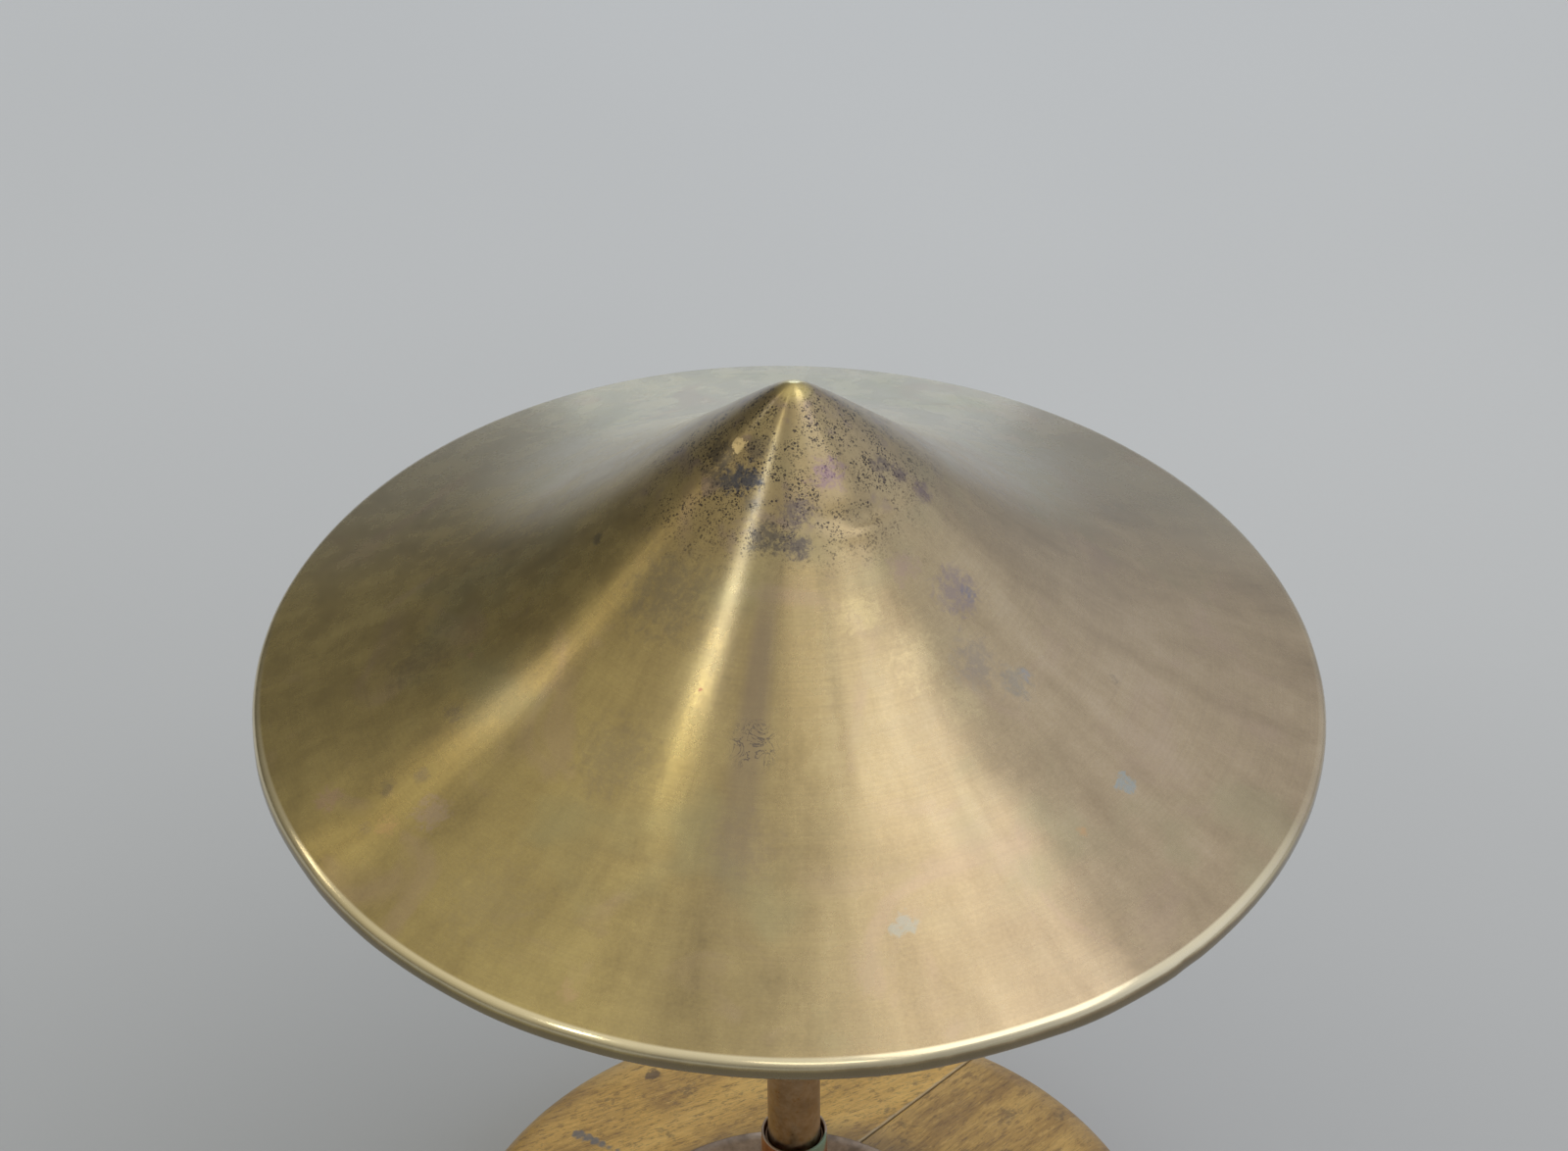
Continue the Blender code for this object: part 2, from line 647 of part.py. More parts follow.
def make_lampholder(materials, stem_axis):
    bore = STUB_RADIUS + GAP
    cap_top = HOLDER_BOTTOM + CAP_HEIGHT
    dome_rise = CAP_HEIGHT - CAP_BUSHING_HEIGHT
    dome_run = HOLDER_RADIUS - CAP_BUSHING_RADIUS
    outer = []
    inner = []
    for step in range(6):
        angle = math.radians(90 * step / 5)
        outer.append((CAP_BUSHING_RADIUS + dome_run * math.cos(angle), cap_top - dome_rise * math.sin(angle)))
        inner.append(
            (
                CAP_BUSHING_RADIUS + (dome_run - HOLDER_WALL) * math.cos(angle),
                cap_top - (dome_rise - HOLDER_WALL) * math.sin(angle),
            )
        )
    profile = outer + [(CAP_BUSHING_RADIUS, HOLDER_BOTTOM), (bore, HOLDER_BOTTOM), (bore, inner[-1][1])]
    profile += list(reversed(inner))
    place(turned("holder_cap", profile), materials["brass"], parent=stem_axis)

    shell = ring("holder_shell", HOLDER_RADIUS, HOLDER_RADIUS - HOLDER_WALL, SHELL_BOTTOM, SHELL_TOP)
    place(shell, materials["brass"], parent=stem_axis)
    insulator = ring("holder_insulator", INSULATOR_RADIUS, INSULATOR_BORE, INSULATOR_BOTTOM, INSULATOR_TOP)
    place(insulator, materials["porcelain"], parent=stem_axis)
    forward = (math.radians(90), 0, 0)
    spindle_hole = rod("cut_spindle_hole", SPINDLE_RADIUS + GAP, SPINDLE_START - 1 * MM, 2 * HOLDER_RADIUS)
    spindle_hole = cutter(spindle_hole, (0, 0, KEY_Z), forward)
    boolean(shell, spindle_hole)
    boolean(insulator, spindle_hole)

    tongue = block("centre_contact", CONTACT_SIZE, (0, 0, CONTACT_TOP - CONTACT_SIZE[2] / 2))
    place(tongue, materials["brass"], parent=stem_axis)
    screw_bottom = INSULATOR_TOP + GAP
    screw_top = screw_bottom + SCREW_SHELL_HEIGHT
    screw_inner = SCREW_SHELL_RADIUS - SCREW_SHELL_WALL
    screw_shell = ring("screw_shell", SCREW_SHELL_RADIUS, screw_inner, screw_bottom, screw_top)
    place(screw_shell, materials["brass"], parent=stem_axis)
    mouth_bore = SCREW_SHELL_RADIUS + GAP
    ring_bottom = SHELL_TOP + GAP
    ring_top = ring_bottom + MOUTH_RING_HEIGHT
    mouth = turned(
        "mouth_ring",
        [
            (MOUTH_RING_RADIUS - 1.5 * MM, ring_top),
            (MOUTH_RING_RADIUS, ring_top - 1.5 * MM),
            (MOUTH_RING_RADIUS, ring_bottom),
            (HOLDER_RADIUS - HOLDER_WALL - GAP, ring_bottom),
            (HOLDER_RADIUS - HOLDER_WALL - GAP, ring_bottom - MOUTH_SKIRT_HEIGHT),
            (mouth_bore, ring_bottom - MOUTH_SKIRT_HEIGHT),
            (mouth_bore, ring_top),
        ],
    )
    place(mouth, materials["porcelain"], parent=stem_axis)

    axis = new_empty("switch_axis", (0, 0, KEY_Z), stem_axis, forward)
    spindle = rod("key_spindle", SPINDLE_RADIUS, SPINDLE_START, SPINDLE_END - GAP)
    place(spindle, materials["steel"], parent=axis)
    thickness, length, height = KEY_SIZE
    radius = height / 2
    half = thickness / 2
    bevel = 0.8 * MM
    profile = [(0, half), (radius - bevel, half), (radius, half - bevel)]
    profile += [(r, -z) for r, z in reversed(profile)]
    key = turned("switch_key", profile)
    key.scale = (1, length / height, 1)
    turn = (math.radians(90), 0, math.radians(90))
    place(key, materials["bakelite"], (0, 0, SPINDLE_END + length / 2), turn, axis)


def make_bulb(materials, stem_axis):
    lift = new_empty("bulb_axis", (0, 0, 0), stem_axis)
    contact = turned(
        "bulb_contact",
        [
            (0, BULB_BOTTOM + BULB_CONTACT_HEIGHT),
            (BULB_CONTACT_RADIUS, BULB_BOTTOM + BULB_CONTACT_HEIGHT),
            (BULB_CONTACT_RADIUS * 0.7, BULB_BOTTOM),
            (0, BULB_BOTTOM),
        ],
        SIDES_SMALL,
    )
    place(contact, materials["solder"], parent=lift)
    foot_top = BULB_FOOT_BOTTOM + BULB_FOOT_HEIGHT
    foot = turned(
        "bulb_foot",
        [
            (0, foot_top),
            (BULB_CAP_RADIUS - 1 * MM, foot_top),
            (BULB_CONTACT_RADIUS, BULB_FOOT_BOTTOM),
            (0, BULB_FOOT_BOTTOM),
        ],
    )
    place(foot, materials["black_glass"], parent=lift)
    cap = ring("bulb_cap", BULB_CAP_RADIUS, BULB_CAP_RADIUS - BULB_CAP_WALL, BULB_CAP_BOTTOM, BULB_CAP_TOP)
    place(cap, materials["brass"], parent=lift)

    neck_bottom = BULB_CAP_TOP - NECK_IN_CAP
    meet = math.degrees(math.asin(NECK_RADIUS * 1.25 / GLOBE_RADIUS)) - 90
    outer = arc((0, GLOBE_Z), GLOBE_RADIUS, 90, meet, 9)
    outer += [(NECK_RADIUS * 1.02, BULB_CAP_TOP + 2 * MM), (NECK_RADIUS, BULB_CAP_TOP)]
    outer.append((NECK_RADIUS, neck_bottom))
    inner = arc((0, GLOBE_Z), GLOBE_RADIUS - GLASS_WALL, 90, meet, 9)
    inner.append((NECK_RADIUS * 1.02 - GLASS_WALL, BULB_CAP_TOP + 2 * MM))
    inner.append((NECK_RADIUS - GLASS_WALL, neck_bottom))
    outer[0] = (0, GLOBE_Z + GLOBE_RADIUS)
    inner[0] = (0, GLOBE_Z + GLOBE_RADIUS - GLASS_WALL)
    place(turned("bulb_glass", outer + list(reversed(inner))), materials["glass"], parent=lift)

    mount_bottom = BULB_CAP_BOTTOM + 1 * MM
    mount_top = mount_bottom + MOUNT_HEIGHT
    flare = NECK_RADIUS - GLASS_WALL - 3 * GAP
    mount = turned(
        "bulb_mount",
        [
            (0, mount_top),
            (MOUNT_RADIUS * 0.6, mount_top),
            (MOUNT_RADIUS, mount_top - 4 * MM),
            (MOUNT_RADIUS, mount_bottom + 9 * MM),
            (flare, mount_bottom + 1 * MM),
            (flare, mount_bottom),
            (0, mount_bottom),
        ],
        SIDES_SMALL,
    )
    place(mount, materials["glass"], parent=lift)
    ends = 60
    start_z = mount_top + GAP + FILAMENT_WIRE
    route = [(-1 * MM, 0, start_z), (-1.5 * MM, 0, start_z + 3 * MM)]
    for step in range(9):
        angle = math.radians(180 + ends / 2 + (360 - ends) * step / 8)
        rise = GLOBE_Z + (3 * MM if step % 2 else -3 * MM)
        route.append((FILAMENT_RADIUS * math.cos(angle), FILAMENT_RADIUS * math.sin(angle), rise))
    route += [(1.5 * MM, 0, start_z + 3 * MM), (1 * MM, 0, start_z)]
    place(wire("filament", route, FILAMENT_WIRE, 1), materials["steel"], parent=lift)


# --- Harp, tilter and shade -----------------------------------------------------------------------------------


def make_harp(materials, stem_axis):
    length = 2 * (HARP_HALF_WIDTH + HARP_WIRE + 1 * MM)
    middle = (SADDLE_BOTTOM + SADDLE_TOP) / 2
    saddle = block("harp_saddle", (length, SADDLE_WIDTH, SADDLE_THICKNESS), (0, 0, middle))
    place(saddle, materials["brass"], parent=stem_axis)
    for name, side in (("left", -1), ("right", 1)):
        at = (side * HARP_HALF_WIDTH, 0, 0)
        post = rod(f"join_post_{name}", HARP_WIRE, SADDLE_BOTTOM + SADDLE_THICKNESS / 2, POST_TOP)
        boolean(saddle, cutter(post, at), "UNION")
        inner = HARP_WIRE + GAP
        bottom = SADDLE_TOP + GAP
        outer = inner + FERRULE_WALL
        ferrule = ring(f"ferrule_{name}", outer, inner, bottom, bottom + FERRULE_LENGTH, SIDES_SMALL)
        place(ferrule, materials["brass"], at, parent=stem_axis)
    boolean(saddle, cutter(rod("cut_saddle_hole", STUB_RADIUS + GAP, 0, 2 * STEM_TOP, SIDES)))

    leg_foot = POST_TOP + GAP
    arch = [
        (HARP_HALF_WIDTH * math.cos(math.radians(a)), 0, BOW_SPRING_Z + BOW_RISE * math.sin(math.radians(a)))
        for a in range(0, 181, 12)
    ]
    path = [(HARP_HALF_WIDTH, 0, leg_foot), *arch, (-HARP_HALF_WIDTH, 0, leg_foot)]
    bow = wire("harp_bow", path, HARP_WIRE)
    place(bow, materials["brass"], parent=stem_axis)
    boss = rod("join_bow_boss", BOW_BOSS_RADIUS, BOW_BOSS_BOTTOM, BOW_BOSS_TOP)
    boolean(bow, cutter(boss), "UNION")
    boolean(bow, cutter(rod("cut_bow_hole", STUD_RADIUS + GAP, BOW_SPRING_Z, 2 * BOW_TOP_Z)))
    stud = turned(
        "swivel_stud",
        [
            (0, FORK_BOTTOM + FORK_BORE_DEPTH - GAP),
            (STUD_RADIUS, FORK_BOTTOM + FORK_BORE_DEPTH - GAP),
            (STUD_RADIUS, BOW_BOSS_BOTTOM - GAP),
            (STUD_HEAD_RADIUS, BOW_BOSS_BOTTOM - GAP),
            (STUD_HEAD_RADIUS - 0.6 * MM, BOW_BOSS_BOTTOM - GAP - STUD_HEAD_HEIGHT),
            (0, BOW_BOSS_BOTTOM - GAP - STUD_HEAD_HEIGHT),
        ],
        SIDES_SMALL,
    )
    place(stud, materials["steel"], parent=stem_axis)


def make_tilter(materials, stem_axis):
    swivel = new_empty("swivel_axis", (0, 0, FORK_BOTTOM), stem_axis)
    fork = rod("tilt_fork", FORK_POST_RADIUS, 0, FORK_POST_HEIGHT)
    place(fork, materials["brass"], parent=swivel)
    head_top = PIVOT_Z - FORK_BOTTOM
    head_height = head_top - FORK_POST_HEIGHT + 1 * MM
    head = block(
        "join_fork_head",
        (FORK_WIDTH, 2 * FORK_HALF_DEPTH, head_height),
        (0, 0, head_top - head_height / 2),
    )
    lying = (math.radians(90), 0, 0)
    boolean(fork, cutter(head, (0, 0, FORK_BOTTOM)), "UNION")
    round_top = rod("join_fork_round", FORK_WIDTH / 2, -FORK_HALF_DEPTH, FORK_HALF_DEPTH, SIDES)
    boolean(fork, cutter(round_top, (0, 0, PIVOT_Z), lying), "UNION")
    slot_height = 4 * FORK_WIDTH
    slot_middle = FORK_SLOT_Z + slot_height / 2
    slot = block("cut_fork_slot", (2 * FORK_WIDTH, SLOT_WIDTH, slot_height), (0, 0, slot_middle))
    boolean(fork, cutter(slot))
    pin_hole = rod("cut_fork_pin", PIN_RADIUS + GAP, -FORK_WIDTH, FORK_WIDTH)
    boolean(fork, cutter(pin_hole, (0, 0, PIVOT_Z), lying))
    stud_bore = rod("cut_fork_bore", STUD_RADIUS + GAP, BOW_SPRING_Z, FORK_BOTTOM + FORK_BORE_DEPTH)
    boolean(fork, cutter(stud_bore))

    ear_face = FORK_HALF_DEPTH + GAP
    pin_axis = new_empty("pin_axis", (0, 0, PIVOT_Z - FORK_BOTTOM), swivel, lying)
    pin = turned(
        "tilt_pin",
        [
            (0, ear_face + NUT_KNOB_LENGTH),
            (PIN_RADIUS, ear_face + NUT_KNOB_LENGTH),
            (PIN_RADIUS, -ear_face),
            (PIN_HEAD_RADIUS, -ear_face),
            (PIN_HEAD_RADIUS - 0.6 * MM, -ear_face - PIN_HEAD_LENGTH),
            (0, -ear_face - PIN_HEAD_LENGTH),
        ],
        SIDES_SMALL,
    )
    place(pin, materials["steel"], parent=pin_axis)
    knob = knurled("tilt_nut", NUT_KNOB_RADIUS, ear_face, ear_face + NUT_KNOB_LENGTH, materials["brass"])
    boolean(knob, cutter(rod("cut_nut_bore", PIN_RADIUS + GAP, 0, 2 * FORK_WIDTH), (0, 0, PIVOT_Z), lying))
    place(knob, parent=pin_axis)
    return new_empty("tilt_axis", (0, 0, PIVOT_Z - FORK_BOTTOM), swivel, (0, SHADE_LEAN, 0))


def shade_profile():
    """The shade's section above its rim: down the outer face, round the hem and up the inner face."""
    bend_start = SHADE_RADIUS - RIM_BEND
    radii = [0, 2.5, 6, 12, 25, 45, 62, 78, 94, 112, 132, 154]
    radii = [r * MM * SHADE_RADIUS / (175 * MM) for r in radii] + [bend_start]
    outer = [(r, shade_height(r)) for r in radii]
    inner = [(0, shade_height(0) - SHADE_WALL * 1.2)] + [(r, shade_inside(r)) for r in radii[1:]]
    hem_radius = WIRE_RADIUS + GAP + SHADE_WALL
    hem_centre = (SHADE_RADIUS - hem_radius, -HEM_DROP)
    bend = [(SHADE_RADIUS - 0.25 * RIM_BEND, shade_height(bend_start) - 0.9 * MM)]
    bend.append((SHADE_RADIUS, -RIM_BEND / 2))
    hem_edge = (hem_centre[0] - hem_radius, hem_centre[1] + 1.5 * MM)
    lip_inner = SHADE_RADIUS - SHADE_WALL
    profile = outer + bend + arc(hem_centre, hem_radius, 0, -180, 4) + [hem_edge]
    profile += [(hem_edge[0] + SHADE_WALL, hem_edge[1])]
    profile += arc(hem_centre, hem_radius - SHADE_WALL, -180, 0, 4)
    profile += [(lip_inner, -RIM_BEND / 2 - SHADE_WALL)] + list(reversed(inner))
    return profile, hem_centre


def make_shade(materials, tilt_axis):
    to_rim = (SHADE_OFFSET_X, 0, RIM_Z - PIVOT_Z)
    profile, hem_centre = shade_profile()
    place(turned("shade", profile, SIDES_LARGE), materials["brass"], to_rim, parent=tilt_axis)
    rim_wire = turned("rim_wire", arc(hem_centre, WIRE_RADIUS, 360, 60, 5), SIDES_LARGE)
    place(rim_wire, materials["iron"], to_rim, parent=tilt_axis)

    top = shade_height(0) - PLUG_CONE_TOP
    bottom = top - PLUG_CONE_HEIGHT
    cone_top = seat_radius(top)
    cone_bottom = seat_radius(bottom)
    tongue_root = bottom - 2 * MM
    profile = [(0, top), (cone_top, top), (cone_bottom, bottom)]
    profile += [(cone_bottom * 0.75, tongue_root), (0, tongue_root)]
    boss = turned("shade_boss", profile)
    place(boss, materials["brass"], to_rim, parent=tilt_axis)
    blade_height = RIM_Z + bottom - PIVOT_Z
    blade = block("join_tongue", (TONGUE_WIDTH, TONGUE_THICKNESS, blade_height), (0, 0, blade_height / 2))
    lying = (math.radians(90), 0, 0)
    lean = (0, SHADE_LEAN, 0)
    boolean(boss, cutter(blade, (0, 0, PIVOT_Z), lean), "UNION")
    half = TONGUE_THICKNESS / 2
    tongue_end = rod("join_tongue_end", TONGUE_WIDTH / 2, -half, half, SIDES)
    boolean(boss, cutter(tongue_end, (0, 0, PIVOT_Z), lying), "UNION")
    pin_hole = rod("cut_tongue_pin", PIN_RADIUS + GAP, -FORK_WIDTH, FORK_WIDTH)
    boolean(boss, cutter(pin_hole, (0, 0, PIVOT_Z), lying))


def seat_radius(height):
    """Radius at which the boss, just under the shade's inner face, reaches this height above the rim."""
    low, high = 0.0, SHADE_RADIUS
    for _ in range(40):
        middle = (low + high) / 2
        if shade_inside(middle) - 1.5 * GAP > height:
            low = middle
        else:
            high = middle
    return low


def make_materials():
    return {
        "brass": new_material("aged_brass", (0.47, 0.36, 0.17), 0.32, 1.0),
        "copper": new_material("copper", (0.58, 0.33, 0.2), 0.35, 1.0),
        "wood": new_material("beech", (0.5, 0.34, 0.16), 0.55),
        "felt": new_material("green_felt", (0.06, 0.14, 0.08), 0.95),
        "fibreboard": new_material("fibreboard", (0.2, 0.13, 0.08), 0.85),
        "iron": new_material("cast_iron", (0.09, 0.09, 0.1), 0.6, 1.0),
        "steel": new_material("steel", (0.5, 0.5, 0.5), 0.35, 1.0),
        "bakelite": new_material("bakelite", (0.05, 0.025, 0.018), 0.3),
        "porcelain": new_material("porcelain", (0.8, 0.78, 0.72), 0.25),
        "glass": new_material("clear_glass", (0.9, 0.93, 0.93), 0.03, 0.0, 0.3),
        "black_glass": new_material("black_glass", (0.02, 0.02, 0.025), 0.15),
        "solder": new_material("solder", (0.55, 0.55, 0.57), 0.4, 1.0),
    }


def make_lamp():
    materials = make_materials()
    make_base(materials)
    make_underside(materials)
    make_ballast(materials)
    make_disc_and_nipple(materials)
    make_cord_entry(materials)
    make_sleeve(materials)
    stem_axis = make_stem(materials)
    make_lampholder(materials, stem_axis)
    make_bulb(materials, stem_axis)
    make_harp(materials, stem_axis)
    tilt_axis = make_tilter(materials, stem_axis)
    make_shade(materials, tilt_axis)


clear_scene()
LAMP = new_collection("table_lamp")
CUTTERS = new_collection("cutters", hidden=True)
make_lamp()
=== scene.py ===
"""Looks of a table lamp: spun brass shade on a telescopic stem and a turned wooden base.

Profiles and the named places and sizes of pieces are in millimetres, and become metres when a mesh is made.
Distances in a look, and all of the floor, lights and camera, are in metres.
"""

import math

import bmesh
import bpy
from mathutils import Matrix, Vector, noise


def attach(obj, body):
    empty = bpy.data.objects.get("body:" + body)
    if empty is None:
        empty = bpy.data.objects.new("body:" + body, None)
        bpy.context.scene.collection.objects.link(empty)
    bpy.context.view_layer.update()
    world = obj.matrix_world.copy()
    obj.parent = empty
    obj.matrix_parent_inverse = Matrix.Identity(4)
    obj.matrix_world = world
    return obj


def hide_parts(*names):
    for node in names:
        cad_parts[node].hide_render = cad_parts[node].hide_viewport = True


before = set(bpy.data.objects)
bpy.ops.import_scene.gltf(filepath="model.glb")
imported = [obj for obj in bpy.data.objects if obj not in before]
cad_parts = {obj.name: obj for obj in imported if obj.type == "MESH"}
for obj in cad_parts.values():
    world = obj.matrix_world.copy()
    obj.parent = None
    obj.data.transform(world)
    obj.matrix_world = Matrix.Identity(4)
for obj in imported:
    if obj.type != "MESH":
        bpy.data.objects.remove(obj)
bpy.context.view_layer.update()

MM = 0.001
LOOK = bpy.data.collections.new("lamp_looks")
bpy.context.scene.collection.children.link(LOOK)

# Where the main pieces are, in millimetres.
BASE_X = 4.4
RIM_Z = 334.0
PIVOT_Z = 407.8
LEAN = math.radians(1.12)
SHADE_X = 1.5
GLUE_ANGLE = math.radians(44)
GLUE_DISTANCE = 28.6

# The shade's outer face, in millimetres: its slope is the middle one plus or minus the change.
SHADE_RADIUS = 175.0
SHADE_TIP_BLUNT = 5.0
SHADE_EASE_RADIUS = 97.0
SHADE_EASE_WIDTH = 42.0
SHADE_MIDDLE_SLOPE = 0.38
SHADE_SLOPE_CHANGE = 0.29

# Tops of the two boards, in millimetres: the rear one stands proud.
BOARD_TOP = 39.5
REAR_BOARD_TOP = 40.0

# Axes and shared sizes of the fittings, in millimetres and degrees.
SWITCH_Z = 288.5
CLAMP_Z = 106.0
GLAND_Z = 16.0
SCREW_BEARINGS = (-90, 30, 150)
COVER_SCREW_RADIUS = 91.5
HARP_HALF_WIDTH = 32.0
GLOBE_Z = 343.4
THREAD_PITCH = 3.63

# ===== Shader building =====


class Graph:
    """A material's node tree, with short ways to add the nodes that the looks are made from."""

    def __init__(self, name):
        self.material = bpy.data.materials.new(name)
        self.material.use_nodes = True
        self.tree = self.material.node_tree
        self.tree.nodes.clear()
        out = self.tree.nodes.new("ShaderNodeOutputMaterial")
        self.shader = self.tree.nodes.new("ShaderNodeBsdfPrincipled")
        self.tree.links.new(self.shader.outputs[0], out.inputs[0])
        self.coords = self.tree.nodes.new("ShaderNodeTexCoord").outputs["Object"]

    def feed(self, socket, value):
        if isinstance(value, bpy.types.NodeSocket):
            self.tree.links.new(value, socket)
        elif isinstance(value, (tuple, list)) and len(value) == 3 and socket.type == "RGBA":
            socket.default_value = (*value, 1)
        else:
            socket.default_value = value

    def node(self, kind, inputs, output=0, **settings):
        made = self.tree.nodes.new(kind)
        for key, value in settings.items():
            setattr(made, key, value)
        for key, value in inputs.items():
            self.feed(made.inputs[key], value)
        return made.outputs[output]

    def math(self, operation, a, b=0.0):
        return self.node("ShaderNodeMath", {0: a, 1: b}, operation=operation)

    def times(self, first, *others):
        for other in others:
            first = self.math("MULTIPLY", first, other)
        return first

    def plus(self, first, *others):
        for other in others:
            first = self.math("ADD", first, other)
        return first

    def minus(self, a, b):
        return self.math("SUBTRACT", a, b)

    def weighted(self, *pairs):
        """The sum of values, each times its weight."""
        return self.plus(*[self.times(value, weight) for value, weight in pairs])

    def centred(self, value, size):
        """A noise value moved to run from minus to plus half of this size."""
        return self.times(self.minus(value, 0.5), size)

    def dot(self, vector, axis):
        return self.vector("DOT_PRODUCT", vector, axis, output=1)

    def vector(self, operation, a, b=(0, 0, 0), output=0):
        return self.node("ShaderNodeVectorMath", {0: a, 1: b}, output, operation=operation)

    def noise(self, scale, detail=3.0, rough=0.55, vector=None, distortion=0.0, output=0):
        inputs = {"Vector": vector or self.coords, "Scale": scale, "Detail": detail}
        inputs.update({"Roughness": rough, "Distortion": distortion})
        return self.node("ShaderNodeTexNoise", inputs, output)

    def cells(self, scale, vector=None):
        """Distance to the nearest of many scattered points."""
        inputs = {"Vector": vector or self.coords, "Scale": scale, "Randomness": 1.0}
        return self.node("ShaderNodeTexVoronoi", inputs, feature="F1")

    def span(self, value, low, high, to_low=0.0, to_high=1.0):
        """A smooth step between two levels of a value; low may be the greater of the two."""
        inputs = {"Value": value, "From Min": low, "From Max": high, "To Min": to_low, "To Max": to_high}
        return self.node("ShaderNodeMapRange", inputs, interpolation_type="SMOOTHSTEP")

    def mix(self, factor, a, b):
        return self.node("ShaderNodeMix", {0: factor, 6: a, 7: b}, 2, data_type="RGBA")

    def ramp(self, value, *stops):
        made = self.tree.nodes.new("ShaderNodeValToRGB")
        self.feed(made.inputs[0], value)
        while len(made.color_ramp.elements) < len(stops):
            made.color_ramp.elements.new(0.5)
        for element, (place, colour) in zip(made.color_ramp.elements, stops):
            element.position = place
            element.color = (*colour, 1)
        return made.outputs[0]

    def bump(self, height, strength, distance, normal=None):
        inputs = {"Height": height, "Strength": strength, "Distance": distance}
        if normal is not None:
            inputs["Normal"] = normal
        return self.node("ShaderNodeBump", inputs)

    def turned_frame(self):
        """Radius from the Z axis, and the unit direction away from it."""
        flat = self.vector("MULTIPLY", self.coords, (1, 1, 0))
        return self.vector("LENGTH", flat, output=1), self.vector("NORMALIZE", flat)

    def near(self, place, radius, soft, wobble=0.0, wobble_scale=400.0):
        """1 within radius of a place on the piece and 0 beyond it, with a ragged edge."""
        distance = self.vector("LENGTH", self.vector("SUBTRACT", self.coords, place), output=1)
        if wobble:
            distance = self.plus(distance, self.centred(self.noise(wobble_scale, 3, 0.6), wobble))
        return self.span(distance, radius + soft, radius - soft)

    def finish(self, **inputs):
        for key, value in inputs.items():
            self.feed(self.shader.inputs[key.replace("_", " ")], value)
        return self.material


def metal(name, dark, middle, light, roughness, scale, tarnish, lines=0.0, stain=(0.05, 0.04, 0.03)):
    """Aged metal: three tones in soft patches, finer blotches, small dark pits and uneven polish."""
    g = Graph(name)
    broad = g.noise(scale, 4, 0.6)
    fine = g.noise(scale * 7, 4, 0.65)
    blend = g.weighted((broad, 0.65), (fine, 0.35))
    colour = g.ramp(blend, (0.36, dark), (0.5, middle), (0.64, light))
    pits = g.span(g.noise(scale * 28, 2, 0.7), 0.64, 0.72)
    patch = g.span(g.noise(scale * 1.7, 3, 0.6, distortion=0.6), 0.5, 0.68)
    dirt = g.times(g.math("MAXIMUM", pits, patch), tarnish)
    colour = g.mix(dirt, colour, stain)
    polish = g.span(fine, 0.3, 0.7, roughness - 0.07, roughness + 0.1)
    polish = g.plus(polish, g.times(dirt, 0.2))
    height = g.minus(g.times(fine, 0.4), g.times(pits, 0.5))
    normal = g.bump(height, 0.25, 0.0002)
    if lines:
        radius, _ = g.turned_frame()
        z = g.dot(g.coords, (0, 0, 1))
        lines_per_metre = 1800.0
        across = {0: g.times(z, lines_per_metre), 1: g.times(radius, lines_per_metre)}
        lathe_lines = g.noise(1.0, 2, 0.6, vector=g.node("ShaderNodeCombineXYZ", across))
        normal = g.bump(lathe_lines, lines, 0.0002, normal)
    return g.finish(Base_Color=colour, Metallic=1.0, Roughness=polish, Normal=normal)


def glaze(name, dark, light, roughness, coat, scale, specks=(0.2, 0.17, 0.12)):
    """Glazed or moulded surface with faint mottling, dust specks and orange-peel."""
    g = Graph(name)
    mottling = g.noise(scale, 4, 0.55)
    colour = g.ramp(mottling, (0.3, dark), (0.7, light))
    dust = g.span(g.noise(scale * 30, 2, 0.7), 0.66, 0.74)
    colour = g.mix(g.times(dust, 0.5), colour, specks)
    polish = g.span(g.noise(scale * 4, 3, 0.6), 0.3, 0.7, roughness - 0.05, roughness + 0.08)
    normal = g.bump(g.noise(scale * 12, 2, 0.5), 0.06, 0.0003)
    return g.finish(Base_Color=colour, Roughness=polish, Normal=normal, Coat_Weight=coat, Coat_Roughness=0.12)


def polar(radius, degrees, height):
    angle = math.radians(degrees)
    return (radius * MM * math.cos(angle), radius * MM * math.sin(angle), height * MM)


def shade_height(radius):
    """Height in millimetres of the shade's outer face over its rim: a flare that eases into a steep cone."""
    radius = math.hypot(radius, SHADE_TIP_BLUNT)
    run = SHADE_RADIUS - radius
    ease = [math.log(math.cosh((r - SHADE_EASE_RADIUS) / SHADE_EASE_WIDTH)) for r in (SHADE_RADIUS, radius)]
    bend = SHADE_EASE_WIDTH * (ease[0] - ease[1])
    return SHADE_MIDDLE_SLOPE * run + SHADE_SLOPE_CHANGE * (run - bend)


def on_shade(radius, degrees):
    return polar(radius, degrees, shade_height(radius))


